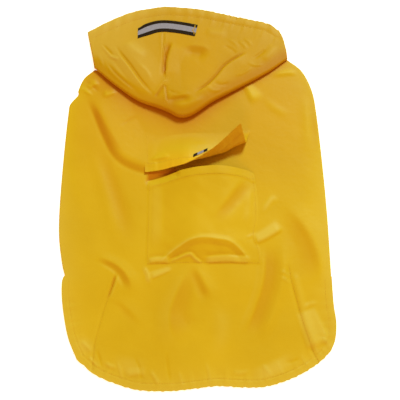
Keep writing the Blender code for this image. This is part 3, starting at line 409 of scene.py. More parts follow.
HOOD_CREASES = [
    (0.9, (1, 1, 0.3), [(-14, 0, 0), (-3.4, 2.2, -0.1), (0, -0.6, 0.55), (2.6, 0.6, 0),
     (10, 1.4, -0.1), (34, 0, 0)],
     [(-108.5, 199), (-97.5, 181.5), (-85, 164), (-73, 145.5), (-62, 131), (-51.5, 120)]),
    (0.8, (0.8, 1, 0.35), [(-6, 0, 0), (-2.2, 1.3, -0.2), (0, -0.5, 0.4), (4, 0.2, 0), (7, 0, 0)],
     [(-124.5, 199), (-117.5, 190), (-108, 178.5)]),
    (0.8, (1, 0.7, 0.35), [(-7, 0, 0), (-2.2, 1.1, -0.05), (0, -0.5, 0.35), (5, 0.4, 0), (9, 0, 0)],
     [(-118, 172), (-108.5, 157.5), (-96.5, 144.5), (-77.5, 127.5)]),
    ridge(1.1, 3, 4, [(-116, 181), (-108, 176), (-100, 174)], painted_shading=-0.15),
    (0.5, (1.1, 0.8, 0.2), [(-8, 0, 0), (-2, -1.7, 0.6), (-0.5, -1.1, 0.8), (1.4, 1.3, -0.1),
     (6, 1.2, 0), (22, 0, 0)],
     [(-32, 201.5), (-36.5, 187), (-39.5, 169.5), (-41, 146.5)]),
    (1.5, (0.8, 1.1, 0.35), [(-24, 0, 0), (-11, -2.1, 0.2), (-1, 0.2, 0.3), (1, 0.4, 0), (5, 0, 0)],
     [(-20, 193.5), (-5.5, 195.5), (9, 193.5), (22, 186)]),
    (0.6, (1, 1, 0.2), [(-14, 0, 0), (-6, 0, 0.1), (-2.2, -1.3, 0.6), (0, 1.5, -0.15),
     (4, 1.3, -0.05), (18, 0, 0)],
     [(68, 185), (57.5, 177.5), (45.5, 169), (36.5, 161), (27, 147.5), (14, 133), (-2.5, 121.5)]),
    ridge(0.9, 2, 2.4, [(55.5, 202.5), (62, 198), (67, 189)], rounding=0.5),
    ridge(0.7, 3, 2, [(42, 207), (50, 201), (56.5, 192)], rounding=0.5),
    ridge(-0.7, 2, 3, [(35.5, 195), (44.5, 190.5), (53.5, 181.5)], rounding=0.5),
    ridge(0.7, 2, 3, [(66.5, 171.5), (75.5, 165.5), (87.5, 165.5)], rounding=0.5),
    ridge(0.8, 3, 3, [(13, 134.5), (22, 127.5), (33.5, 129)], rounding=0.5),
    ridge(-0.6, 3, 3, [(20.5, 141.5), (31, 136), (45, 139)], rounding=0.5),
    ridge(0.6, 3, 3, [(49.5, 149.5), (61, 153.5), (73, 162.5)], rounding=0.5),
    ridge(0.6, 3, 3, [(-130.5, 185.5), (-125, 174), (-121.5, 161)], rounding=0.5),
    ridge(0.6, 3, 3, [(-75, 167.5), (-65.5, 157.5), (-58.5, 144.5)], rounding=0.5),
    ridge(0.8, 2, 2.4, [(63.5, 207), (70, 201), (73.5, 193.5)], rounding=0.5),
    ridge(-0.8, 4, 3, [(73, 174.5), (82.5, 181.5), (92, 190.5)], rounding=0.7),
    ridge(0.9, 7, 8, [(86.5, 172), (97, 183.5), (105.5, 198.5)], rounding=1.5),
    (0.4, (1, 1, 0.2), [(-2, 0, 0), (-1, -0.5, 0.2), (0, 0.4, 0), (1, -0.5, 0.2), (2, 0, 0)],
     [(-42.5, 207), (-42, 174.5), (-41.5, 141.5)]),
    ridge(1.1, 1.4, 1.4, [(-45.5, 138.5), (-41.5, 141.5), (-37.5, 142.5)], painted_shading=-0.2, rounding=0.4),
    (0.4, (1, 1, 0.2), [(-4, 0, 0), (-0.8, 0.6, 0), (0.6, -0.8, 0.5), (6, 0, 0)],
     [(-42, 138.5), (-48, 129), (-54, 119)]),
    (0.4, (1, 1, 0.2), [(-4, 0, 0), (-0.8, 0.5, 0), (0.6, -0.7, 0.4), (4, 0, 0)],
     [(-41, 137.5), (-39.5, 124.5), (-37.5, 110.5)]),
    ridge(-0.7, 2.5, 2, [(-36.5, 129), (-28.5, 124.5), (-21, 124.5)], rounding=0.5),
    ridge(-0.7, 2.5, 2, [(-35, 117.5), (-27, 121), (-18, 124.5)], rounding=0.5),
    (0.7, (1, 1, 0.3), [(-8, 0, 0), (0, -1.8, 0.4), (4.5, 0.8, 0), (10, 0, 0)],
     [(-38.5, 113.5), (-23.5, 116), (-5.5, 117.5)]),
    ridge(1.2, 8, 6, [(-31, 105), (-10.5, 108.5), (12.5, 119)], rounding=2.0),
    ridge(1.2, 8, 10, [(-94, 202.5), (-82, 189.5), (-66, 176.5)], rounding=1.5),
    ridge(0.9, 8, 8, [(11.5, 219.5), (26.5, 215), (42, 215)], rounding=2.0),
]
POCKET_CREASES = [
    (2.0, (1, 0.9, 0.35), [(-12, 0, 0), (-4, 0.6, 0), (0, -0.6, 0.3), (7, -0.7, 0.25),
     (15, 0.4, -0.05), (26, 0, 0)],
     [(66, 13), (49.5, -9.5), (34.5, -29), (19.5, -47)]),
    (2.5, (1, 1, 0.3), [(-8, 0, 0), (0, 0.5, -0.15), (6, 0.4, -0.1), (12, 0, 0.05), (30, 0, 0)],
     [(-52.5, 12), (-50.5, -26), (-51, -86)]),
    (0.6, (1, 1, 0.15), [(-15, 0, 0), (-8, -0.8, 0.1), (-1.6, 0.8, 0.14), (0, 1.5, -0.45),
     (1.8, 0.6, -0.1), (5, 0, 0)],
     [(-47, -101.5), (-35, -89.5), (-21.5, -79.5), (-7, -71), (8.5, -68), (25.5, -69.5),
      (41.5, -72.5), (54.5, -82), (70, -101.5)]),
    (0.5, (1, 1, 0.2), [(-3, 0, 0), (0, 1.5, -0.3), (3, -0.4, 0.2), (6, 0, 0)],
     [(-36, -99), (-20.5, -92), (-7.5, -88), (0, -94), (11, -101.5)]),
    (0.8, (1, 1, 0.15), [(0, 0, 0.35), (3, 1.4, -0.25), (8, 1.1, -0.32), (11, -0.3, 0.15), (15, 0, 0)],
     [(10, -101), (36.5, -99), (66.5, -101)]),
    (0.8, (1, 1, 0.15), [(0, 0, 0.35), (3, 1.3, -0.25), (7, 1.0, -0.32), (10, -0.2, 0.15), (14, 0, 0)],
     [(-58, -101), (-46, -99.5), (-31.5, -100.5)]),
    (0.7, (1, 0.5, 0.2), [(-3, 0, 0.2), (0, 1.4, -0.2), (4, 0, 0)],
     [(81, -55.5), (71, -62), (61, -68)]),
    ridge(0.8, 6, 5, [(67, -1.5), (65.5, -27.5), (61.5, -53)], rounding=1.5),
]
FLAP_CREASES = [  # x and y are the shares of its width and of its length, both times 100
    ridge(1.5, 16, 7, [(6, 66), (16, 70), (27, 68)], painted_shading=-0.25, rounding=2.0),
    ridge(0.7, 10, 10, [(52, 30), (60, 55), (66, 80)], rounding=4.0),
    ridge(-0.8, 7, 7, [(72, 44), (78, 66), (80, 90)], rounding=3.0),
    ridge(0.9, 6, 6, [(88, 40), (90, 66), (93, 92)], rounding=3.0),
]

# Grids. Counts, or shares of the piece
FOLDED_ROWS = 150  # of the back, beside the side folds
FOLDED_FROM = 0.27  # share of its length below them
RUMP_ROWS = spaced((0, 0.14, 1), (12, 42))
BACK_COLUMNS = spaced((0, 0.045, 0.955, 1), (9, 174, 9))
POCKET_ROWS = spaced((0, 0.1, 1), (13, 86))
POCKET_COLUMNS = spaced((0, 0.06, 0.94, 1), (9, 84, 9))
FLAP_ROWS = spaced((0, 0.6, 1), (40, 56))
FLAP_COLUMNS = np.linspace(0, 1, 130)
FLAP_STEPS = 400  # steps in which the angle of a strip is summed
HALF_COLUMNS = 84  # spans across half of the hood
HOOD_ROWS = 104  # spans from its rolled edge to its opening
TAPE_COUNTS = (21, 90)  # points across and along
TAB_COUNTS = (14, 25)
STITCH_RING = 6  # points round a stitch, and rings along it


# ---------------------------------------------------------------- curves and creases

def curve(points, count):
    """A smooth open curve through the points, as count points evenly spaced along it.

    Each span is a cubic whose end slopes are the mean slopes of its neighbours (Catmull-Rom).
    """
    p = np.array(points, float)
    slopes = np.gradient(p, axis=0)
    t = np.linspace(0, 1, 24, endpoint=False)[:, None]
    rise = 3 * t**2 - 2 * t**3
    a, b = p[:-1, None], p[1:, None]
    spans = a * (1 - rise) + b * rise
    spans = spans + slopes[:-1, None] * (t - 2 * t**2 + t**3) + slopes[1:, None] * (t**3 - t**2)
    fine = np.concatenate([spans.reshape(-1, p.shape[1]), p[-1:]])
    return by_length(fine, np.linspace(0, 1, count))


def by_length(line, shares):
    """Points of a line at the given shares of its length."""
    length = np.concatenate([[0], np.cumsum(np.linalg.norm(np.diff(line, axis=0), axis=1))])
    at = np.asarray(shares) * length[-1]
    return np.stack([np.interp(at, length, line[:, k]) for k in range(line.shape[1])], axis=1)


def read_at(points, shares):
    """Points of a smooth curve through the points at given shares of its length."""
    return by_length(curve(points, 400), shares)


def outward(line, turn):
    """Unit normals of a plane curve, on its left where turn is 1 and on its right where it is -1."""
    d = np.gradient(line[:, :2], axis=0)
    d /= np.linalg.norm(d, axis=1)[:, None]
    return turn * np.stack([-d[:, 1], d[:, 0]], axis=1)


def nearest(x, y, line):
    """Distance to a curve given by its points, positive on its left, and the share along it."""
    x, y = np.broadcast_arrays(np.asarray(x, float), np.asarray(y, float))
    place = np.stack([x.ravel(), y.ravel()], axis=1)
    best = np.full(len(place), np.inf)
    signed = np.zeros(len(place))
    share = np.zeros(len(place))
    spans = len(line) - 1
    for k in range(spans):
        a, span = line[k, :2], line[k + 1, :2] - line[k, :2]
        t = np.clip(((place - a) @ span) / (span @ span), 0, 1)
        off = place - a - t[:, None] * span
        d = np.hypot(off[:, 0], off[:, 1])
        near = d < best
        cross = span[0] * off[:, 1] - span[1] * off[:, 0]
        best = np.where(near, d, best)
        signed = np.where(near, np.where(cross < 0, -d, d), signed)
        share = np.where(near, (k + t) / spans, share)
    return signed.reshape(x.shape), share.reshape(x.shape)


def distance(x, y, line):
    """Shortest plane distance from each place to a curve."""
    return np.abs(nearest(x, y, line)[0])


def step(low, high, value):
    """0 below low, 1 above high, a smooth ramp between."""
    t = np.clip((value - low) / (high - low), 0, 1)
    return t * t * (3 - 2 * t)


def hill(value, width):
    """1 at 0, fading to both sides over the width (a Gaussian)."""
    return np.exp(-((value / width) ** 2))


def ripple(t, pitch, phase):
    """Uneven waves from -1 to 1: three sines whose pitches don't divide each other."""
    turn = 2 * np.pi * t / pitch
    return (np.sin(turn + phase) + 0.6 * np.sin(turn / 0.618 + 2 * phase)
            + 0.5 * np.sin(turn / 1.73 + 3 * phase)) / 2.1


def creases(x, y, rows, column=1):
    """Sum of creases: each row's section is carried along its smooth line.

    A section is a chain of straight facets, whose corners are rounded by averaging it over the
    rounding to both sides. Its width and height change evenly from the line's start to its end, and
    it grows and fades over the given share of the length. Column 1 gives heights, column 2 the
    painted shading: painted shade where it is positive, painted highlight where it is negative.
    """
    x, y = np.broadcast_arrays(np.asarray(x, float), np.asarray(y, float))
    total = np.zeros(x.shape)
    for rounding, (start, end, fade), section, points in rows:
        line = curve(points, 6 * len(points))
        # a section without its third column gets painted shade in its hollows and painted highlight on
        # its ridges
        section = np.array([row if len(row) > 2 else (*row, -HOLLOW_PAINTED_SHADE * row[1]) for row in section])
        reach = np.abs(section[:, 0]).max() * max(start, end) + rounding
        low, high = line.min(0) - reach, line.max(0) + reach
        near = (x > low[0]) & (x < high[0]) & (y > low[1]) & (y < high[1])
        if near.any():
            d, share = nearest(x[near], y[near], line)
            scale = start + (end - start) * share
            around = (d + rounding * np.linspace(-1, 1, 7)[:, None]) / scale
            value = np.interp(around, section[:, 0], section[:, column], 0, 0).mean(0)
            if column == 1:
                value *= scale
            total[near] += value * step(0, fade, share) * (1 - step(1 - fade, 1, share))
    return total


def kept_above(height, low, soft):
    """A height that bends softly away from a lowest one."""
    over = height - low
    return low + (over + np.sqrt(over**2 + soft**2)) / 2


# ---------------------------------------------------------------- forms of the layers

SIDES = [curve(LEFT_SIDE, 60), curve(RIGHT_SIDE, 50)]
RUMP_LINE = curve(RUMP, 60)
OPENING_LINE = curve(HOOD_OPENING, 50)
ROLL_LINE = curve(HOOD_ROLL, 50)
SEAM_LINE = curve(CENTRE_SEAM, 40)
HEM_LINE = np.concatenate(
    [
        curve(LEFT_SIDE[LEFT_FOLDED - 1:], 40)[:-1],
        curve(RUMP, 120),
        curve(RIGHT_SIDE[RIGHT_FOLDED - 1:], 36)[::-1][1:],
    ]
)
HEM_LENGTH = np.linalg.norm(np.diff(HEM_LINE, axis=0), axis=1).sum()


def on(height, plan):
    """A height, given as a function of x and y, at the points of a plan."""
    return height(plan[..., 0], plan[..., 1])


def to_outline(x, y):
    """Distance to the back's outline: its two sides and the rump's edge."""
    return np.minimum.reduce([distance(x, y, line) for line in (*SIDES, RUMP_LINE)])


def back_height(x, y):
    """Height of the back's middle: flat over the side folds, a low dome, creases and the hem.

    The rump is one layer, so it comes down to the floor.
    """
    to_edge = to_outline(x, y)
    single = 1 - step(BELLY_HEM_SIDE - RUMP_STEP, BELLY_HEM_SIDE - 2, y)
    edge = BACK_EDGE * (1 - single) + RUMP_HEIGHT * single
    dome = BACK_DOME * (1 - np.exp(-to_edge / BACK_DOME_WIDTH))
    waves = BACK_WAVES * ripple(x + 0.35 * y, 71, 0.4) * ripple(y - 0.2 * x, 118, 1.9)
    relief = (creases(x, y, BACK_CREASES) + waves) * step(0, BACK_EVEN_EDGE, to_edge)
    relief += creases(x, y, HEM_CRUMPLES) * step(0, 4, to_edge)
    for line in DARTS:
        d, share = nearest(x, y, curve(line, 30))
        relief -= DART_DEPTH * hill(d, DART_WIDTH) * step(0, 0.08, share)
    lowest = BACK_LOWEST * (1 - single) + RUMP_LOWEST * single
    return kept_above(edge + dome + relief + hem_relief(x, y) * single, lowest, 0.5)


def hem_relief(x, y):
    """Relief of the rump's hem: a raised band, its stitched groove, and gathers here and there."""
    to_hem, share = nearest(x, y, HEM_LINE)
    to_hem = np.abs(to_hem)
    along = share * HEM_LENGTH
    band = 1 - step(RUMP_HEM - 0.5, RUMP_HEM + 1.5, to_hem)
    groove = hill(to_hem - RUMP_HEM + HEM_STITCHES, HEM_GROOVE_WIDTH)
    pull = 0.5 + 0.5 * step(-0.2, 0.6, ripple(along, 150, 2.2))
    gathers = ripple(along, HEM_GATHER_PITCH, 0.7) * hill(to_hem - RUMP_HEM, HEM_GATHER_REACH) * pull
    return HEM_RISE * band - HEM_RISE * groove + HEM_GATHERS * gathers


def hood_height(x, y):
    """Height of the middle of the hood's crown.

    Low at the opening, up over the hidden folds to the rolled edge, fullest near the roll's tip,
    with its creases, its centre seam and the relief by its opening.
    """
    left, right = HOOD_OPENING[0][0], HOOD_ROLL[-1][0]
    across = np.clip((x - left) / (right - left), 0, 1)
    middle = np.sin(np.pi * across)
    to_opening = distance(x, y, OPENING_LINE)
    to_roll = distance(x, y, ROLL_LINE)
    share = to_opening / (to_opening + to_roll + 1e-9)
    opening = HOOD_LOW - HOOD_MOUTH_SAG * middle
    roll = HOOD_ROLL_LOW + HOOD_ROLL_MORE * middle**0.7
    climb = np.sin(share * np.pi / 2) ** 1.5
    tip_x, tip_y = (x - HOOD_TIP[0]) / HOOD_TIP_SIZE[0], (y - HOOD_TIP[1]) / HOOD_TIP_SIZE[1]
    tip = HOOD_TIP_MORE * np.exp(-(tip_x**2) - tip_y**2)
    plain = opening + (roll - opening) * climb + tip
    inside = step(0, 0.16, share) * (1 - step(0.93, 1, share))
    inside = inside * step(0.02, 0.12, across) * (1 - step(0.9, 0.99, across))
    ends = step(0, 0.06, across) * (1 - step(0.94, 1, across))
    to_seam = distance(x, y, SEAM_LINE)
    rise, width, off = SEAM_RIDGES
    seam = rise * hill(to_seam - off, width) - SEAM_GROOVE[0] * hill(to_seam, SEAM_GROOVE[1])
    seam *= step(34, 48, to_opening) * step(0.2, 0.45, 1 - share)
    detail = opening_relief(x, to_opening) * ends + seam
    return kept_above(plain + creases(x, y, HOOD_CREASES) * inside + detail, HOOD_LOWEST, 0.4)


def opening_relief(x, to_opening):
    """Relief by the hood's opening: soft folds, a puffed casing, its stitched groove and puckers."""
    wave = np.sin(2 * np.pi * x / GATHER_PITCH + 1.6 * np.sin(x / 17))
    gathers = GATHER_RISE * wave * (1 - step(0, GATHER_REACH, to_opening))
    tight = 0.25 + 0.75 * step(-60, 50, x)
    puckers = PUCKER_RISE * tight * ripple(x + 0.3 * to_opening, PUCKER_PITCH, 1.1)
    puckers = puckers * hill(to_opening - CASING, PUCKER_REACH)
    puff = CASING_PUFF * np.sin(np.pi * np.clip(to_opening / CASING, 0, 1))
    groove = -CASING_GROOVE * tight * hill(to_opening - CASING, CASING_GROOVE_WIDTH)
    return gathers + puckers + puff + groove


def lying(x, y, over=ON_TOP):
    """Height for the middle of a shell that lies on the back."""
    return back_height(x, y) + over


# ---------------------------------------------------------------- grids and shells

def coons(left, right, low, high, columns, rows):
    """A grid between four edges (a Coons patch).

    The sum of the two straight blends between opposite edges, less the blend of the four corners.
    """
    v = rows[:, None, None]
    u = columns[None, :, None]
    sides = (1 - u) * left[:, None] + u * right[:, None]
    ends = (1 - v) * low[None] + v * high[None]
    corners = (1 - v) * ((1 - u) * left[0] + u * right[0]) + v * ((1 - u) * left[-1] + u * right[-1])
    return sides + ends - corners


def raised(grid, height):
    """A plane grid or line at the given heights."""
    return np.concatenate([grid[..., :2], np.broadcast_to(height, grid.shape[:-1])[..., None]], -1)


def fold_under(edge, normals, low, reach, steps):
    """Columns that carry an edge round an upright half ellipse and back beneath it."""
    half = (edge[:, 2] - low) / 2
    columns = []
    for k in range(1, steps + 1):
        angle = np.pi / 2 - np.pi * k / steps
        out = (reach * np.cos(angle) * np.ones(len(edge)))[:, None]
        z = low + half * (1 + np.sin(angle))
        columns.append(np.column_stack([edge[:, :2] + normals * out, z]))
    return np.stack(columns, axis=1)


def between(first, last, steps):
    """Columns on straight lines from one edge to another, without the first."""
    t = np.linspace(0, 1, steps + 1)[1:, None]
    return first[:, None] * (1 - t) + last[:, None] * t


def joined(line, start, end):
    """A line moved a little, evenly along it, so that it starts and ends at the given places."""
    t = np.linspace(0, 1, len(line))[:, None]
    return line + (np.array(start) - line[0]) * (1 - t) + (np.array(end) - line[-1]) * t


def moved_out(grid, by):
    """A grid moved along its own normals, which point up where it lies flat."""
    d_across = np.gradient(grid, axis=1)
    d_along = np.gradient(grid, axis=0)
    normals = np.cross(d_along, d_across)
    normals = normals / np.maximum(np.linalg.norm(normals, axis=-1), 1e-9)[..., None]
    return grid + normals * np.asarray(by)[..., None]


def grid_faces(rows, columns):
    """The quads of a grid whose points are numbered row by row."""
    index = np.arange(rows * columns).reshape(rows, columns)
    corners = [index[:-1, :-1], index[:-1, 1:], index[1:, 1:], index[1:, :-1]]
    return np.stack(corners, -1).reshape(-1, 4)


def grid_shares(counts):
    """For each point of a grid, its shares of the way through the rows and through the columns."""
    return np.meshgrid(*(np.linspace(0, 1, count) for count in counts), indexing="ij")


def merged(*grids):
    """One mesh of several grids: points closer than a hair are one."""
    points = np.concatenate([g.reshape(-1, 3) for g in grids])
    starts = np.cumsum([0] + [g.shape[0] * g.shape[1] for g in grids])
    quads = np.concatenate([grid_faces(*g.shape[:2]) + k for g, k in zip(grids, starts)])
    found = np.unique(np.round(points, 3), axis=0, return_index=True, return_inverse=True)
    return points[found[1]], found[2].reshape(-1)[quads]


def point_normals(points, faces):
    """Normals at the points, each the area-weighted mean of its faces' normals."""
    across = points[faces[:, 2]] - points[faces[:, 0]]
    along = points[faces[:, 3]] - points[faces[:, 1]]
    face_normals = np.cross(across, along)
    normals = np.stack(
        [np.bincount(faces.ravel(), np.repeat(face_normals[:, k], 4), len(points)) for k in range(3)], 1
    )
    return normals / np.maximum(np.linalg.norm(normals, axis=1), 1e-12)[:, None]


def closed(upper, lower, faces):
    """A closed shell between two surfaces on the same faces: both skins, and a rim.

    The rim stands on the edges that have no neighbour: quads, or two triangles in place of each.
    """
    count = len(upper)
    a = faces.ravel()
    b = np.roll(faces, -1, axis=1).ravel()
    lone = ~np.isin(a * count + b, b * count + a)
    a, b = a[lone], b[lone]
    rim = np.column_stack([b, a, a + count, b + count])
    if faces.shape[1] == 3:
        rim = np.concatenate([rim[:, :3], rim[:, [0, 2, 3]]])
    return np.concatenate([upper, lower]), np.concatenate([faces, faces[:, ::-1] + count, rim])


def thickened(points, faces, thickness):
    """A closed shell round a middle surface."""
    out = point_normals(points, faces) * (thickness / 2)
    return closed(points + out, points - out, faces)


def shell(grids, thickness=CLOTH):
    """A closed cloth shell round the middle surface that the grids make together."""
    return thickened(*merged(*grids), thickness)


def placed(name, data):
    """An object of the given data, in the scene."""
    made = bpy.data.objects.new(name, data)
    bpy.context.scene.collection.objects.link(made)
    return made


def add_mesh(name, points, faces, made, uv=None, painted_shading=None):
    """One object, shaded smooth, from points in millimetres and from only quads or triangles."""
    sides = faces.shape[1]
    mesh = bpy.data.meshes.new(name)
    mesh.vertices.add(len(points))
    mesh.vertices.foreach_set("co", ((points + (*PLACE, 0)) * MM).astype(np.float32).ravel())
    mesh.loops.add(faces.size)
    mesh.loops.foreach_set("vertex_index", faces.astype(np.int32).ravel())
    mesh.polygons.add(len(faces))
    mesh.polygons.foreach_set("loop_start", np.arange(0, faces.size, sides, dtype=np.int32))
    mesh.update(calc_edges=True)
    mesh.validate()
    mesh.shade_smooth()
    mesh.set_sharp_from_angle(angle=SHARP_ANGLE)
    mesh.materials.append(made)
    if uv is not None:
        layer = mesh.uv_layers.new(name="band")
        layer.data.foreach_set("uv", uv[faces.ravel()].astype(np.float32).ravel())
    # the painted shade and painted highlights go on each point as an attribute
    if painted_shading is not None:
        layer = mesh.attributes.new("painted_shading", "FLOAT", "POINT")
        layer.data.foreach_set("value", painted_shading.astype(np.float32))
    piece = placed(name, mesh)
    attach(piece, "root")
    return piece


# ---------------------------------------------------------------- back and belly

def neckline_y(x):
    """y of the underside's neckline at x."""
    line = curve(NECKLINE, 80)
    return np.interp(x, line[:, 0], line[:, 1])


def side_line(table, folded, turn):
    """A side of the back from the rump's corner to the neck, and the normals of its folded part."""
    low = read_at(table[folded - 1:][::-1], RUMP_ROWS)
    high = read_at(table[:folded][::-1], np.linspace(0, 1, FOLDED_ROWS))
    normals = outward(high, turn)
    return np.concatenate([low[:-1], high - normals * FOLD_INSET]), normals


def seam_line(table):
    """A side seam of the underside, one point for each folded row of the back."""
    line = read_at(table, np.linspace(0, 1, FOLDED_ROWS))
    line[-1, 1] = neckline_y(line[-1, 0])
    return line


def back_cloth(made):
    """The back: the whole top, and a strip at each side that folds round and lies beneath."""
    left, left_normals = side_line(LEFT_SIDE, LEFT_FOLDED, 1)
    right, right_normals = side_line(RIGHT_SIDE, RIGHT_FOLDED, -1)
    low = read_at(RUMP, BACK_COLUMNS)
    frill = RUMP_FRILL * ripple(low[:, 0] + 0.4 * low[:, 1], 8.5, 0.4)
    low = low + outward(low, 1) * frill[:, None]
    low = joined(low, left[0], right[0])
    high = joined(read_at(NECK, BACK_COLUMNS), left[-1], right[-1])
    rows = np.concatenate([RUMP_ROWS[:-1] * FOLDED_FROM, np.linspace(FOLDED_FROM, 1, FOLDED_ROWS)])
    plan = coons(left, right, low, high, BACK_COLUMNS, rows)
    top = raised(plan, on(back_height, plan))
    strips = []
    for column, normals, seam in ((0, left_normals, LEFT_SEAM), (-1, right_normals, RIGHT_SEAM)):
        edge = top[-FOLDED_ROWS:, column]
        fold = fold_under(edge, normals, FLOOR_LAYER, FOLD_RISE / 2, 7)
        under = between(fold[:, -1], raised(seam_line(seam), FLOOR_LAYER), 10)
        under[-1, :, 1] = neckline_y(under[-1, :, 0])
        strip = np.concatenate([edge[:, None], fold, under], axis=1)
        strips.append(strip[:, ::-1] if column == 0 else strip)
    points, faces = shell([top] + strips)
    x, y = points[:, 0], points[:, 1]
    # painted shading on the top: painted shade and highlights along the creases, painted shade over the
    # yoke, painted sheen by the outline, and a painted shadow under the hood's rolled edge
    painted_shading = creases(x, y, BACK_CREASES, 2) + creases(x, y, HEM_CRUMPLES, 2)
    painted_shading += YOKE_PAINTED_SHADE * step(*YOKE_FADE, y) + RIM_PAINTED_SHEEN * np.exp(-to_outline(x, y) / RIM_WIDTH)
    reach = UNDER_ROLL_SHADOW_REACH[0] - UNDER_ROLL_SHADOW_REACH[1] * step(0, 75, x)
    painted_shading += UNDER_ROLL_PAINTED_SHADOW * np.exp(-distance(x, y, ROLL_LINE) / reach)
    piece = add_mesh("back_cloth", points, faces, made, painted_shading=painted_shading * (points[:, 2] > 1))
    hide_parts("back_panel")
    return piece


def rump_hem(made):
    """The turned layer of the rump's hem, seen from below: a band inside the edge."""
    across = np.linspace(HEM_START, RUMP_HEM, 7)[:, None, None]
    plan = HEM_LINE[None] + outward(HEM_LINE, 1)[None] * across
    height = np.maximum(on(back_height, plan) - CLOTH - TURNING_LOWER["rump"], HEM_LOWEST)
    add_mesh("rump_hem_turning", *shell([raised(plan, height)], TURNING), made)


def belly_cloth(made):
    """The belly: a flat sheet between the side seams, with an arched hem and two leg holes."""
    left = seam_line(LEFT_SEAM) + (SEAM_GAP, 0)
    right = seam_line(RIGHT_SEAM) - (SEAM_GAP, 0)
    across = np.linspace(0, 1, 60)[1:-1]
    top_x = left[-1, 0] + (right[-1, 0] - left[-1, 0]) * across
    top = np.column_stack([top_x, neckline_y(top_x)])
    hem = belly_hem_line(60)[1:-1]
    outline = np.concatenate([left, top, right[::-1], hem[::-1]])
    loops = [outline[::-1]] + [leg_hole(row, 64, 0) for row in LEG_HOLES]
    upper, lower, triangles = plate(loops, FLOOR_LAYER - CLOTH / 2, FLOOR_LAYER + CLOTH / 2)
    points, faces = closed(upper, lower, triangles)
    piece = add_mesh("belly_cloth", points, faces, made)
    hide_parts("belly_panel")
    return piece


def belly_hem_line(count):
    """The belly's arched hem from the left side seam to the right one."""
    share = np.linspace(0, 1, count)
    left, right = LEFT_SEAM[0][0] + SEAM_GAP, RIGHT_SEAM[0][0] - SEAM_GAP
    x = left + (right - left) * share
    return np.column_stack([x, BELLY_HEM_SIDE + BELLY_HEM_ARCH * np.sin(np.pi * share)])


def leg_hole(row, count, wider):
    """An oval round a leg hole, wider than it by the given width."""
    x, y, half_width, half_length = row
    turn = np.linspace(0, 2 * np.pi, count + 1)[:-1]
    return np.column_stack(
        [x + (half_width + wider) * np.cos(turn), y + (half_length + wider) * np.sin(turn)]
    )


def plate(loops, low, high):
    """A flat sheet with holes: its outlines filled with triangles, at two heights."""
    plan = np.concatenate(loops)
    mesh = bmesh.new()
    made = [mesh.verts.new((x, y, 0)) for x, y in plan]
    start = 0
    for loop in loops:
        for k in range(len(loop)):
            mesh.edges.new((made[start + k], made[start + (k + 1) % len(loop)]))
        start += len(loop)
    mesh.verts.index_update()
    bmesh.ops.triangle_fill(mesh, edges=mesh.edges[:], use_beauty=True, normal=(0, 0, 1))
    triangles = np.array([[v.index for v in face.verts] for face in mesh.faces])
    mesh.free()
    a, b, c = (plan[triangles[:, k]] for k in range(3))
    turned = (b[:, 0] - a[:, 0]) * (c[:, 1] - a[:, 1]) < (b[:, 1] - a[:, 1]) * (c[:, 0] - a[:, 0])
    triangles[turned] = triangles[turned][:, ::-1]
    return raised(plan, high), raised(plan, low), triangles


def leg_binding(made, row, name):
    """The folded binding round a leg hole: an oval band, a flat oval in section."""
    turn = np.linspace(0, 2 * np.pi, 97)
    section = np.linspace(0, 2 * np.pi, 13)
    x, y, half_width, half_length = row
    reach = BINDING[0] * np.cos(section)
    rise = BINDING[1] * np.sin(section)
    ring_x = x + (half_width + BINDING_OUT + reach[None]) * np.cos(turn)[:, None]
    ring_y = y + (half_length + BINDING_OUT + reach[None]) * np.sin(turn)[:, None]
    ring_z = BINDING_HEIGHT + rise[None] + BINDING_WAVES * ripple(turn, 0.21, 0.5)[:, None]
    add_mesh(name, *merged(np.stack([ring_x, ring_y, ring_z], -1)), made)


# ---------------------------------------------------------------- hood

def hood_lines():
    """The rolled edge's line with its normals and bulge, and the opening's line, for both halves."""
    k = LEFT_POINTS["roll"]
    count = HALF_COLUMNS + 1
    roll = np.concatenate([curve(HOOD_ROLL[:k], count), curve(HOOD_ROLL[k - 1:], count)[1:]])
    k = LEFT_POINTS["opening"]
    opening = np.concatenate(
        [curve(HOOD_OPENING[:k], count), curve(HOOD_OPENING[k - 1:], count)[1:]]
    )
    frill = ripple(opening[:, 0], 7.5, 0.9) * (0.25 + 0.55 * step(-20, 40, opening[:, 0]))
    opening = opening + outward(opening, 1) * frill[:, None] * step(0, 9, 109 - opening[:, :1])
    bulge = ROLL_BULGE + ROLL_BULGE_MORE * np.sin(np.pi * np.linspace(0, 1, len(roll))) ** 0.8
    return roll, outward(roll, -1), bulge, opening


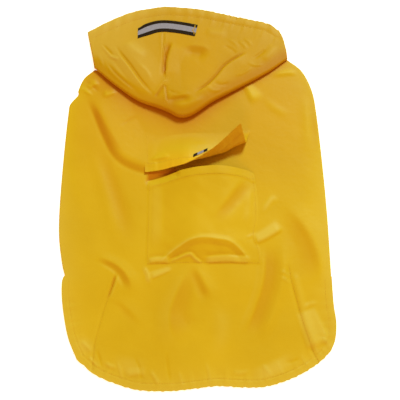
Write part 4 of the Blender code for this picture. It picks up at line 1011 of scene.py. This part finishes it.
def hood_half(made, side, name, node):
    """One half of the hood: crown, rolled edge with its return to the neck, side fold and throat."""
    roll, roll_normals, bulge, opening = hood_lines()
    take = slice(0, HALF_COLUMNS + 1) if side < 0 else slice(HALF_COLUMNS, 2 * HALF_COLUMNS + 1)
    normals, bulge = roll_normals[take], bulge[take]
    low = roll[take] - normals * (bulge + BULGE_ROOM)[:, None]
    high = opening[take]
    edge = curve(HOOD_LEFT_EDGE if side < 0 else HOOD_RIGHT_EDGE, HOOD_ROWS + 1)
    edge_normals = outward(edge, -side)
    edge = edge - edge_normals * (SIDE_BULGE + BULGE_ROOM)
    inner = -1 if side < 0 else 0
    seam = joined(curve(CENTRE_SEAM, HOOD_ROWS + 1), low[inner], high[inner])
    seam = seam + (side * SEAM_CLOSED / 2, 0)
    left, right = (edge, seam) if side < 0 else (seam, edge)
    low = joined(low, left[0], right[0])
    high = joined(high, left[-1], right[-1])
    rows = np.linspace(0, 1, HOOD_ROWS + 1)
    plan = coons(left, right, low, high, np.linspace(0, 1, HALF_COLUMNS + 1), rows)
    crown = raised(plan, on(hood_height, plan))
    rolled = hood_roll(crown[0], normals, bulge)
    points, faces = shell([crown, rolled, hood_throat(crown, edge_normals, side)])
    x, y = points[:, 0], points[:, 1]
    # painted shading: painted shade and highlights along the creases, painted shade on the rolled edge,
    # painted sheen by the opening, and painted light on the hood's left
    painted_shading = creases(x, y, HOOD_CREASES, 2) + ROLL_PAINTED_SHADE * (1 - step(4, 22, distance(x, y, ROLL_LINE)))
    painted_shading += RIM_PAINTED_SHEEN * np.exp(-distance(x, y, OPENING_LINE) / RIM_WIDTH)
    painted_shading += SIDE_PAINTED_LIGHT * (1 - step(-110, -20, x))
    piece = add_mesh(name, points, faces, made, painted_shading=painted_shading)
    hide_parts(node)
    return piece


def hood_roll(edge, normals, bulge):
    """The hood's lower edge rolled under, and the return up to the neck seam."""
    beyond = edge[:, :2] + normals * (bulge + BULGE_ROOM)[:, None]
    low = np.maximum(lying(edge[:, 0], edge[:, 1]), lying(beyond[:, 0], beyond[:, 1]))
    fold = fold_under(edge, normals, low, bulge, 12)
    reach = np.interp(edge[:, 0], *np.array(RETURN, float).T)
    end = edge[:, :2] - normals * reach[:, None]
    back = between(fold[:, -1], np.column_stack([end, low]), 10)
    settle = np.linspace(1, 0, 10)[None]
    back[..., 2] = np.maximum(lying(back[..., 0], back[..., 1]), low[:, None] * settle)
    strip = np.concatenate([edge[:, None], fold, back], axis=1)
    return strip.transpose(1, 0, 2)[::-1]


def hood_throat(crown, normals, side):
    """The hood's side folded under, and its lower part on the floor as far as the throat seam."""
    edge = crown[:, 0] if side < 0 else crown[:, -1]
    fold = fold_under(edge, normals, FLOOR_LAYER, SIDE_BULGE, 9)
    front_y = np.linspace(neckline_y(THROAT_FRONT[0]), THROAT_FRONT[1], len(edge))
    front = np.column_stack([np.full(len(edge), THROAT_FRONT[0] + side * SEAM_GAP / 2), front_y])
    under = between(fold[:, -1], raised(front, FLOOR_LAYER), 24)
    under[0, :, 1] = neckline_y(under[0, :, 0]) + SEAM_GAP + 0.2
    strip = np.concatenate([edge[:, None], fold, under], axis=1)
    return strip[:, ::-1] if side < 0 else strip


def hood_inner_folds(made):
    """The hood's hidden cloth: one sheet folded to and fro in three layers under the crown.

    Along its profile the place between roll and opening runs up, down and up again, and the level
    climbs at each turn in a smooth step, so that the turns are round.
    """
    across = np.linspace(*LAYERS_ACROSS, 60)
    s = np.linspace(0.03, 2.97, 110)
    swing = np.abs(((s + 1) % 2) - 1)
    swing = 0.5 - 0.5 * np.cos(np.pi * swing)
    level = step(0.86, 1.14, s) + step(1.86, 2.14, s)
    up = LAYERS_UP[0] + (LAYERS_UP[1] - LAYERS_UP[0]) * swing
    w = up[:, None, None]
    plan = read_at(HOOD_ROLL, across)[None] * (1 - w) + read_at(HOOD_OPENING, across)[None] * w
    x, y = plan[..., 0], plan[..., 1]
    neck = np.interp(x, *np.array(NECK, float).T)
    on_throat = step(6, 18, y - neck)
    floor = (lying(x, y) + INNER_OVER_BACK) * (1 - on_throat)
    floor += (FLOOR_LAYER + INNER_OVER_FLOOR) * on_throat
    roof = hood_height(x, y) + np.minimum(creases(x, y, HOOD_CREASES), 0) * 0.4 - INNER_BELOW
    room = np.maximum(roof - floor, INNER_ROOM)
    height = floor + room * (INNER_LEVELS[0] + INNER_LEVELS[1] * level[:, None])
    piece = add_mesh("hood_inner_folds", *shell([raised(plan, height)], INNER_CLOTH), made)
    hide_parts("hood_folded_layers")
    return piece


def tape_threads():
    """The tape's middle line and its direction across, upright and shorter at the left end."""
    line = curve(TAPE_LINE, TAPE_COUNTS[1])
    upright = 1 - step(0, TAPE_SLANTED, np.linspace(0, 1, len(line)))[:, None]
    return line, outward(line, 1) * (1 - upright) + np.array((0, TAPE_END)) * upright


def hood_band(made):
    """The reflective tape: a flat woven band along its line on the hood, with square cut ends."""
    line, normals = tape_threads()
    across = np.linspace(-TAPE_WIDTH / 2, TAPE_WIDTH / 2, TAPE_COUNTS[0])
    plan = line[None] + normals[None] * across[:, None, None]
    height = on(hood_height, plan) + CLOTH / 2 + TAPE_THICKNESS / 2 + TAPE_LIFT
    v, u = grid_shares(TAPE_COUNTS)
    band("hood_band", raised(plan, height), u, v, made, "hood_tape")


def band(name, grid, u, v, made, node):
    """A tape shell with u along it and v across it as its UV map."""
    faces = grid_faces(*grid.shape[:2])
    points, faces = thickened(grid.reshape(-1, 3), faces, TAPE_THICKNESS)
    uv = np.column_stack([u.ravel(), v.ravel()])
    piece = add_mesh(name, points, faces, made, uv=np.concatenate([uv, uv]))
    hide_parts(node)


# ---------------------------------------------------------------- pocket and flap

def pocket_grid():
    """The pocket's plan: foot, mouth, a straight left edge and a right edge that is pulled in."""
    low = read_at(POCKET_FOOT, POCKET_COLUMNS)
    high = read_at(POCKET_MOUTH, POCKET_COLUMNS)
    left = low[0] + (high[0] - low[0]) * POCKET_ROWS[:, None]
    right = joined(read_at(POCKET_RIGHT, POCKET_ROWS), low[-1], high[-1])
    return coons(left, right, low, high, POCKET_COLUMNS, POCKET_ROWS)


def pocket_height(plan, u, v):
    """The pocket's height: sewn down at three sides, full inside, fullest at its mouth."""
    x, y = plan[..., 0], plan[..., 1]
    to_side = np.minimum(u, 1 - u)
    flat = step(0, 0.5, u) * step(0, 0.35, 1 - u)
    rise = POCKET_FULLNESS * step(0, 0.26, v) + POCKET_MOUTH_RISE * step(0.55, 1, v)
    inside = step(0.004, 0.06, to_side) * step(0.002, 0.03, v)
    relief = creases(x, y, POCKET_CREASES) * inside
    mouth = distance(x, y, curve(POCKET_MOUTH, 40))
    hem = POCKET_HEM_RISE * (1 - step(POCKET_HEM - 0.5, POCKET_HEM + 1.5, mouth))
    groove = -POCKET_GROOVE * hill(mouth - POCKET_HEM + 1, 1.3)
    seam = POCKET_SEAM_RISE * hill(to_side * POCKET_WIDTH - POCKET_SEAM, 2.2) * step(0.02, 0.1, v)
    waves = POCKET_WAVES * ripple(x + y * 0.4, 33, 0.3) * ripple(y, 41, 1.2) * inside
    over = SEWN_FLAT + (ON_TOP - SEWN_FLAT) * step(0, 0.07, np.minimum(to_side, v))
    return lying(x, y, over) + kept_above(flat * rise + relief + waves + hem + groove + seam, 0, 0.12)


def pocket_cloth(made):
    """The patch pocket, with a turned hem at its mouth that shows its double edge."""
    plan = pocket_grid()
    grid = raised(plan, pocket_height(plan, *np.meshgrid(POCKET_COLUMNS, POCKET_ROWS)))
    points, faces = shell([grid])
    # painted shade and painted highlights along the pocket's creases
    painted_shading = creases(points[:, 0], points[:, 1], POCKET_CREASES, 2)
    piece = add_mesh("pocket_cloth", points, faces, made, painted_shading=painted_shading)
    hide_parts("pocket")
    turned = POCKET_ROWS > 1 - POCKET_HEM / POCKET_LENGTH
    inner = grid[turned][:, 10:-10] - (0, 0, CLOTH + TURNING_LOWER["pocket"])
    inner[-1, :, 1] -= 0.5
    add_mesh("pocket_mouth_turning", *shell([inner], TURNING), made)
    return grid, piece


def flap_profiles(across):
    """How far the flap's strips run and climb, step by step, by shares of its width.

    The angle of a strip is summed along its length: it rises to the lift near the sewn edge, loses
    the droop evenly, and gains the curl over a short bend towards the lip.
    """
    share, *columns = np.array(FLAP_SHAPE, float).T
    near = np.linspace(-0.04, 0.04, 9)[:, None]
    length, lift, droop, curl, bend = (
        np.interp(across + near, share, column).mean(0)[None] for column in columns
    )
    t = np.linspace(0, 1, FLAP_STEPS + 1)[:, None]
    angle = np.radians(lift * step(0, 0.3, t) - droop * t + curl * step(bend, bend + 0.2, t))
    run = np.cumsum(np.cos(angle), axis=0) * length / FLAP_STEPS
    climb = np.cumsum(np.sin(angle), axis=0) * length / FLAP_STEPS
    return run, climb


def flap_surface(across, along):
    """The flap's middle surface, by shares of its width and of its length from the sewn edge."""
    hinge = read_at(FLAP_HINGE, across)
    run, climb = flap_profiles(across)
    pick = np.round(along * FLAP_STEPS).astype(int)
    drift = np.interp(across, [0, 1], FLAP_DRIFT)[None]
    x = hinge[None, :, 0] + drift * along
    y = hinge[None, :, 1] - np.take_along_axis(run, pick, 0) + run[0]
    clear = np.maximum(step(0.1, 0.5, along) * step(0, 0.12, across), step(0.8, 0.96, along))
    low = lying(x, y, FLAP_SUNK + (ON_TOP - FLAP_SUNK) * clear)
    high = lying(hinge[:, 0], hinge[:, 1], FLAP_SUNK)[None] + np.take_along_axis(climb, pick, 0)
    return np.stack([x, y, np.maximum(high - climb[0], low)], axis=-1)


def flap_relief(across, along):
    """Relief of the flap: its creases, the raised hem with its groove, and small waves."""
    u, v = across * 100, along * 100
    relief = creases(u, v, FLAP_CREASES) * step(0, 20, v) * step(0, 8, np.minimum(u, 100 - u))
    hem = 100 * FLAP_HEM / FLAP_LENGTH
    raised_hem = FLAP_HEM_RISE * step(100 - hem - 2, 100 - hem, v)
    groove = -FLAP_HEM_RISE * hill(v - 100 + hem, 2.2)
    return relief + raised_hem + groove + FLAP_WAVES * ripple(u, 9, 0.8) * step(60, 100, v)


def flap_cloth(made, under):
    """The pocket's flap, standing up towards its right end, its lip curled back."""
    across, along = np.meshgrid(FLAP_COLUMNS, FLAP_ROWS)
    grid = moved_out(flap_surface(FLAP_COLUMNS, along), flap_relief(across, along))
    points, faces = shell([grid[::-1]])
    upper = len(points) // 2
    x, y = points[:, 0], points[:, 1]
    # painted shade over the flap as over the yoke, and painted light towards its lip on the left, on its
    # upper skin only
    painted_shading = YOKE_PAINTED_SHADE * step(*YOKE_FADE, y)
    painted_shading += FLAP_LIP_PAINTED_LIGHT * (1 - step(5, 70, y)) * step(-66, -25, x)
    painted_shading[upper:] = 0
    piece = add_mesh("flap_cloth", points, faces, made, painted_shading=painted_shading)
    upper_faces = (grid.shape[0] - 1) * (grid.shape[1] - 1)
    # the lower skin takes the underside's cloth, which carries a painted glow
    piece.data.materials.append(under)
    below = (np.arange(len(faces)) >= upper_faces).astype(np.int32)
    piece.data.polygons.foreach_set("material_index", below)
    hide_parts("pocket_flap")
    turned = FLAP_ROWS > 1 - FLAP_HEM / FLAP_LENGTH
    hem = moved_out(grid, -CLOTH - TURNING_LOWER["flap"])[turned][:, 2:-2]
    add_mesh("flap_hem_turning", *shell([hem[::-1]], TURNING), under)
    return grid, piece


def flap_loop(made):
    """The short tape tab on the flap, slanted, by its lip."""
    half = TAPE_WIDTH / 2 / (FLAP_HINGE[-1][0] - FLAP_HINGE[0][0])
    across = TAB_MIDDLE[0] + np.linspace(-half, half, TAB_COUNTS[1])
    middle = TAB_MIDDLE[1] + TAB_SLANT * (across - TAB_MIDDLE[0])
    along = middle[None] + np.linspace(-TAB_LENGTH / 2, TAB_LENGTH / 2, TAB_COUNTS[0])[:, None]
    grid = moved_out(flap_surface(across, along), CLOTH / 2 + TAPE_THICKNESS / 2 + TAB_LIFT)
    u, v = grid_shares(TAB_COUNTS)
    band("flap_loop", grid[::-1], u[::-1], v[::-1], made, "flap_tab")


# ---------------------------------------------------------------- sewing

def spindle_faces():
    """The faces of one stitch: a tube of rings, closed at both ends."""
    ring = np.arange(STITCH_RING)
    after = np.roll(ring, -1)
    span = np.column_stack([ring, after, after + STITCH_RING, ring + STITCH_RING])
    ends = np.array([[3, 2, 1, 0], [5, 4, 3, 0], [30, 31, 32, 33], [30, 33, 34, 35]])
    return np.concatenate([span + k * STITCH_RING for k in range(STITCH_RING - 1)] + [ends])


def stitch_row(line, pitch):
    """The rings of a row of stitches, which are arched a little and lie end to end on a line.

    A stitch is a spindle, whose radius is the square root of a sine along it.
    """
    rings = np.linspace(0, 1, STITCH_RING)
    turn = np.linspace(0, 2 * np.pi, STITCH_RING, endpoint=False)
    radius = THREAD / 2 * np.sqrt(np.sin(np.pi * (0.04 + 0.92 * rings)))
    length = np.linalg.norm(np.diff(line, axis=0), axis=1).sum()
    count = max(int(length / pitch), 1)
    at = np.arange(count) / count
    first = by_length(line, at)
    along = by_length(line, at + STITCH_SHARE / count) - first
    direction = along / np.linalg.norm(along, axis=1)[:, None]
    side = np.cross(direction, (0, 0, 1))
    side /= np.linalg.norm(side, axis=1)[:, None]
    up = np.cross(side, direction)
    spine = first[:, None] + along[:, None] * rings[:, None]
    spine = spine + up[:, None] * (STITCH_ARCH * np.sin(np.pi * rings))[:, None]
    around = side[:, None, None] * np.cos(turn)[:, None] + up[:, None, None] * np.sin(turn)[:, None]
    return spine[:, :, None] + around * radius[:, None, None]


def stitches(name, lines, made, pitch=STITCH_PITCH):
    """Rows of stitches along lines, joined into one mesh."""
    rows = np.concatenate([stitch_row(line, pitch) for line in lines])
    starts = STITCH_RING**2 * np.arange(len(rows))[:, None, None]
    add_mesh(name, rows.reshape(-1, 3), (spindle_faces() + starts).reshape(-1, 4), made)


def laid(line, height, lift=CLOTH / 2 + THREAD_LIFT):
    """A plane line laid on a surface, whose height is a function of x and y."""
    return raised(line, on(height, line) + lift)


def offset(line, by):
    """A plane line moved to its left."""
    return line + outward(line, 1) * by


def sew(thread, tape_thread, pocket, flap):
    """The rows of stitches that show from above."""
    hem = offset(by_length(HEM_LINE, np.linspace(0.01, 0.99, 300)), RUMP_HEM - HEM_STITCHES)
    stitches("rump_hem_stitches", [laid(hem, back_height)], thread)
    darts = [offset(curve(line, 60), DART_STITCHES) for line in DARTS]
    stitches("dart_stitches", [laid(line, back_height) for line in darts], thread)
    casing = offset(by_length(OPENING_LINE, np.linspace(0.02, 0.98, 200)), -CASING)
    stitches("casing_stitches", [laid(casing, hood_height)], thread)
    seam = by_length(SEAM_LINE, np.linspace(0.05, 0.9, 120))
    beside = [laid(offset(seam, by), hood_height) for by in (SEAM_STITCHES, -SEAM_STITCHES)]
    stitches("centre_seam_stitches", beside, thread)
    # the seams of the pocket and the flap run along rows and columns of their grids
    foot, left, right = pocket[3, 3:-3], pocket[2:-2, 3], pocket[2:-2, -4]
    mouth = pocket[-9, 6:-6]
    rows = [row + (0, 0, CLOTH / 2 + THREAD_LIFT) for row in (left[::-1], foot, right, mouth)]
    stitches("pocket_stitches", rows, thread)
    out = moved_out(flap, CLOTH / 2 + FLAP_THREAD_LIFT)
    stitches("flap_stitches", [out[-28, 4:-4], out[3:-28, 4], out[3:-28, -5]], thread)
    tape, normals = tape_threads()
    aside = normals * (TAPE_WIDTH / 2 - TAPE_STITCHES)
    lift = CLOTH / 2 + TAPE_THICKNESS + TAPE_THREAD_LIFT
    rows = [laid(line, hood_height, lift) for line in (tape + aside, tape - aside)]
    stitches("tape_stitches", rows, tape_thread, TAPE_STITCH_PITCH)


def loose_threads(thread):
    """Loose ends at the hood's opening and at the hem, and the tack at the tape's right end."""
    lines = []
    for x, y, dx, dy in THREAD_ENDS:
        z = (on(hood_height, np.array((x, y))) if y > 0 else RUMP_HEIGHT) + THREAD_END_LIFT
        lines.append(np.array([(x, y, z), (x + dx, y + dy, z + THREAD_END_CLIMB)]))
    tack = read_at(TAPE_TACK, np.linspace(0, 1, 30))
    height = on(hood_height, tack) + CLOTH / 2 + TAPE_THICKNESS + TACK_LIFT
    for k in range(0, 29, 4):
        for aside in TACK_STRANDS:
            lines.append(np.column_stack([tack[k:k + 6] + (aside, 0), height[k:k + 6]]))
    stitches("loose_threads", lines, thread, ONE_STITCH)


def under_sewing(thread):
    """The rows of stitches on the underside: side seams, belly hem and leg holes."""
    lines = [offset(seam_line(LEFT_SEAM), SIDE_STITCHES)]
    lines.append(offset(seam_line(RIGHT_SEAM), -SIDE_STITCHES))
    lines.append(belly_hem_line(160) + (0, BELLY_HEM))
    for row in LEG_HOLES:
        ring = leg_hole(row, 96, LEG_STITCHES)
        lines.append(np.concatenate([ring, ring[:1]]))
    stitches("underside_stitches", [raised(line, UNDER_STITCHES) for line in lines], thread)


# ---------------------------------------------------------------- finishes

def material(name):
    """A plain Principled material, with its node tree and its shader."""
    made = bpy.data.materials.new(name)
    made.use_nodes = True
    tree = made.node_tree
    return made, tree, tree.nodes["Principled BSDF"]


def node(tree, kind, **values):
    """A node whose named inputs or settings have the given values."""
    made = tree.nodes.new(kind)
    for key, value in values.items():
        if key in made.inputs:
            made.inputs[key].default_value = value
        else:
            setattr(made, key, value)
    return made


def noise(tree, place, scale, detail=3.0, roughness=0.5):
    """Noise on the object's own coordinates."""
    made = node(tree, "ShaderNodeTexNoise", Scale=scale, Detail=detail, Roughness=roughness)
    tree.links.new(place, made.inputs["Vector"])
    return made.outputs["Fac"]


def wave(tree, place, direction, scale):
    """Band waves in one direction on the object's own coordinates."""
    made = node(
        tree, "ShaderNodeTexWave", wave_type="BANDS", bands_direction=direction, Scale=scale
    )
    tree.links.new(place, made.inputs["Vector"])
    return made.outputs["Fac"]


def weave(tree, place, scale):
    """Warp and weft: two crossed band waves, multiplied."""
    bands = [wave(tree, place, direction, scale) for direction in ("X", "Y")]
    both = node(tree, "ShaderNodeMath", operation="MULTIPLY")
    tree.links.new(bands[0], both.inputs[0])
    tree.links.new(bands[1], both.inputs[1])
    return both.outputs[0]


def bump(tree, height, depth, strength, under=None):
    """A bump of the given depth in metres, over another one."""
    made = node(tree, "ShaderNodeBump", Strength=strength, Distance=depth)
    tree.links.new(height, made.inputs["Height"])
    if under is not None:
        tree.links.new(under, made.inputs["Normal"])
    return made.outputs["Normal"]


def ramp(tree, value, low, high, start=0.3, end=0.7):
    """A colour that runs from low to high as the value runs from start to end."""
    made = node(tree, "ShaderNodeValToRGB")
    made.color_ramp.elements[0].position = start
    made.color_ramp.elements[1].position = end
    made.color_ramp.elements[0].color = (*low, 1)
    made.color_ramp.elements[1].color = (*high, 1)
    tree.links.new(value, made.inputs["Fac"])
    return made.outputs["Color"]


def scaled(tree, value, factor):
    """A value times a number, kept between 0 and 1."""
    times = node(tree, "ShaderNodeMath", operation="MULTIPLY", use_clamp=True)
    times.inputs[1].default_value = factor
    tree.links.new(value, times.inputs[0])
    return times.outputs[0]


def blend(tree, share, colour, other):
    """A colour blended by a share, which is kept between 0 and 1, with another that is set here."""
    mixed = node(tree, "ShaderNodeMix", data_type="RGBA", clamp_factor=True)
    mixed.inputs[7].default_value = (*other, 1)
    tree.links.new(share, mixed.inputs[0])
    tree.links.new(colour, mixed.inputs[6])
    return mixed.outputs[2]


def coated_cloth(name, low, high, roughness=COATED, shine=0.13, painted_highlight=PAINTED_HIGHLIGHT):
    """Coated polyester: a fine weave under a satin coat, cloudy in tone, small crinkles, painted shade
    and highlights.
    """
    made, tree, shader = material(name)
    place = node(tree, "ShaderNodeTexCoord").outputs["Object"]
    cloud = noise(tree, place, scale=9.0, detail=4.0, roughness=0.55)
    plain = ramp(tree, cloud, low, high)
    # a point attribute paints shade (deeper, more orange) and highlights (paler, towards white) into the
    # plain colour
    painted_shading = node(tree, "ShaderNodeAttribute", attribute_name="painted_shading").outputs["Fac"]
    painted_deep = blend(tree, painted_shading, plain, [a * b for a, b in zip(low, PAINTED_SHADE)])
    painted_pale = [a + (1 - a) * b for a, b in zip(high, painted_highlight)]
    both = blend(tree, scaled(tree, painted_shading, -1), painted_deep, painted_pale)
    tree.links.new(both, shader.inputs["Base Color"])
    wear = noise(tree, place, scale=34.0)
    gloss = node(tree, "ShaderNodeMapRange", **{"To Min": roughness[0], "To Max": roughness[1]})
    tree.links.new(wear, gloss.inputs["Value"])
    tree.links.new(gloss.outputs["Result"], shader.inputs["Roughness"])
    woven = bump(tree, weave(tree, place, scale=620.0), depth=0.00005, strength=0.35)
    grain = noise(tree, place, scale=210.0)
    grained = bump(tree, grain, depth=0.0003, strength=0.35, under=woven)
    crinkles = noise(tree, place, scale=48.0, roughness=0.55)
    crinkled = bump(tree, crinkles, depth=0.0016, strength=0.25, under=grained)
    tree.links.new(crinkled, shader.inputs["Normal"])
    shader.inputs["Specular IOR Level"].default_value = shine
    return made


def painted_glow(made):
    """A painted glow: faint deep orange, standing in for light that shines through the cloth from
    behind.
    """
    shader = made.node_tree.nodes["Principled BSDF"]
    shader.inputs["Emission Color"].default_value = (1, 0.38, 0.01, 1)
    shader.inputs["Emission Strength"].default_value = 0.03


def reflective_tape(name):
    """Tape with a silver glass-bead middle and black woven borders, by the share across it."""
    made, tree, shader = material(name)
    uv = node(tree, "ShaderNodeUVMap", uv_map="band").outputs["UV"]
    parts = node(tree, "ShaderNodeSeparateXYZ")
    tree.links.new(uv, parts.inputs[0])
    across = parts.outputs["Y"]
    bands = node(tree, "ShaderNodeValToRGB")
    bands.color_ramp.interpolation = "CONSTANT"
    bands.color_ramp.elements[0].color = TAPE_BLACK
    bands.color_ramp.elements[1].position = TAPE_SILVER_FROM
    bands.color_ramp.elements[1].color = TAPE_SILVER
    bands.color_ramp.elements.new(TAPE_SILVER_TO).color = TAPE_BLACK
    tree.links.new(across, bands.inputs["Fac"])
    place = node(tree, "ShaderNodeTexCoord").outputs["Object"]
    grain = noise(tree, place, scale=420.0, detail=2.0)
    mixed = node(tree, "ShaderNodeMix", data_type="RGBA", blend_type="MULTIPLY")
    mixed.inputs[0].default_value = 0.25
    tree.links.new(bands.outputs["Color"], mixed.inputs[6])
    tree.links.new(ramp(tree, grain, (0.6, 0.6, 0.6), (1.25, 1.25, 1.25)), mixed.inputs[7])
    tree.links.new(mixed.outputs[2], shader.inputs["Base Color"])
    woven = bump(tree, weave(tree, place, scale=420.0), depth=0.00012, strength=0.5)
    tree.links.new(woven, shader.inputs["Normal"])
    shader.inputs["Roughness"].default_value = 0.55
    shader.inputs["Specular IOR Level"].default_value = 0.06
    return made


def thread_finish(name, colour):
    """Sewing thread."""
    made, tree, shader = material(name)
    place = node(tree, "ShaderNodeTexCoord").outputs["Object"]
    twist = wave(tree, place, "DIAGONAL", scale=900.0)
    twisted = bump(tree, twist, depth=0.00006, strength=0.5)
    tree.links.new(twisted, shader.inputs["Normal"])
    shader.inputs["Base Color"].default_value = (*colour, 1)
    shader.inputs["Roughness"].default_value = 0.6
    return made


# ---------------------------------------------------------------- stage

def camera():
    """A camera 1.05 m from the coat and 72 degrees above the floor, in line with the coat."""
    aim, elevation = (5.0, -16.5), np.radians(72)
    away, width, sensor = 1.05, 0.5, 36.0
    target = Vector((PLACE[0] + aim[0], PLACE[1] + aim[1], 0)) * MM
    data = bpy.data.cameras.new("camera")
    data.sensor_width = sensor
    data.lens = sensor * away / width
    made = placed("camera", data)
    made.location = target + Vector((0, -np.cos(elevation), np.sin(elevation))) * away
    made.rotation_euler = (np.pi / 2 - elevation, 0, 0)
    bpy.context.scene.camera = made


def soft_light(name, place, size, power, colour):
    """A square soft light aimed at the coat."""
    data = bpy.data.lights.new(name, "AREA")
    data.shape = "SQUARE"
    data.size = size
    data.energy = power
    data.color = colour
    made = placed(name, data)
    made.location = place
    aim = Vector((0, 0, 0)) - made.location
    made.rotation_euler = aim.to_track_quat("-Z", "Y").to_euler()


def studio():
    """A white floor, an even surround, and two soft lights."""
    made, *_, shader = material("white_floor")
    shader.inputs["Base Color"].default_value = (0.95, 0.95, 0.95, 1)
    shader.inputs["Roughness"].default_value = 0.9
    shader.inputs["Specular IOR Level"].default_value = 0.1
    shader.inputs["Emission Color"].default_value = (1, 1, 1, 1)
    shader.inputs["Emission Strength"].default_value = 0.8
    mesh = bpy.data.meshes.new("floor")
    far, low = 40.0, -0.0002
    corners = [(-far, -far, low), (far, -far, low), (far, far, low), (-far, far, low)]
    mesh.from_pydata(corners, [], [(0, 1, 2, 3)])
    mesh.materials.append(made)
    floor = placed("floor", mesh)
    world = bpy.data.worlds.new("surround")
    world.use_nodes = True
    world.node_tree.nodes["Background"].inputs["Color"].default_value = (1.0, 0.56, 0.22, 1)
    world.node_tree.nodes["Background"].inputs["Strength"].default_value = 0.46
    bpy.context.scene.world = world
    soft_light("key", (1.7, 3.9, 4.3), size=1.5, power=304.0, colour=(0.73, 1.0, 0.8))
    soft_light("fill", (-0.4, -4.2, 1.5), size=2.0, power=64.0, colour=(1.0, 0.72, 0.4))
    bpy.context.scene.view_settings.view_transform = "Standard"
    bpy.context.scene.view_settings.look = "None"


# ---------------------------------------------------------------- the coat

camera()
studio()
yellow = coated_cloth("yellow_coated_cloth", *YELLOW)
# the flap's copy of the cloth, whose warmer painted highlight makes painted light towards its lip
flap_painted_light_yellow = coated_cloth("flap_cloth_painted_light", *YELLOW, painted_highlight=FLAP_PAINTED_HIGHLIGHT)
# the hood in a darker copy of the same cloth: painted shade
hood_shaded_yellow = coated_cloth("hood_cloth_painted_shade", *HOOD_SHADED_YELLOW, shine=0.09)
inside = coated_cloth("cloth_inside", *INSIDE_YELLOW, UNCOATED)
underside = coated_cloth("cloth_underside", *UNDERSIDE_YELLOW, UNCOATED)
painted_glow(underside)
tape = reflective_tape("reflective_tape")
thread = thread_finish("yellow_thread", THREAD_YELLOW)
dark_thread = thread_finish("black_thread", THREAD_BLACK)

back = back_cloth(yellow)
rump_hem(yellow)
belly = belly_cloth(yellow)
for k, row in enumerate(LEG_HOLES):
    leg_binding(yellow, row, f"leg_binding_{k + 1}")
left_half = hood_half(hood_shaded_yellow, -1, "hood_cloth_left", "hood_left")
right_half = hood_half(hood_shaded_yellow, 1, "hood_cloth_right", "hood_right")
folded = hood_inner_folds(inside)
hood_band(tape)
pocket_points, pocket_piece = pocket_cloth(yellow)
flap_points, flap_piece = flap_cloth(flap_painted_light_yellow, underside)
flap_loop(tape)
sew(thread, dark_thread, pocket_points, flap_points)
under_sewing(thread)
loose_threads(thread)
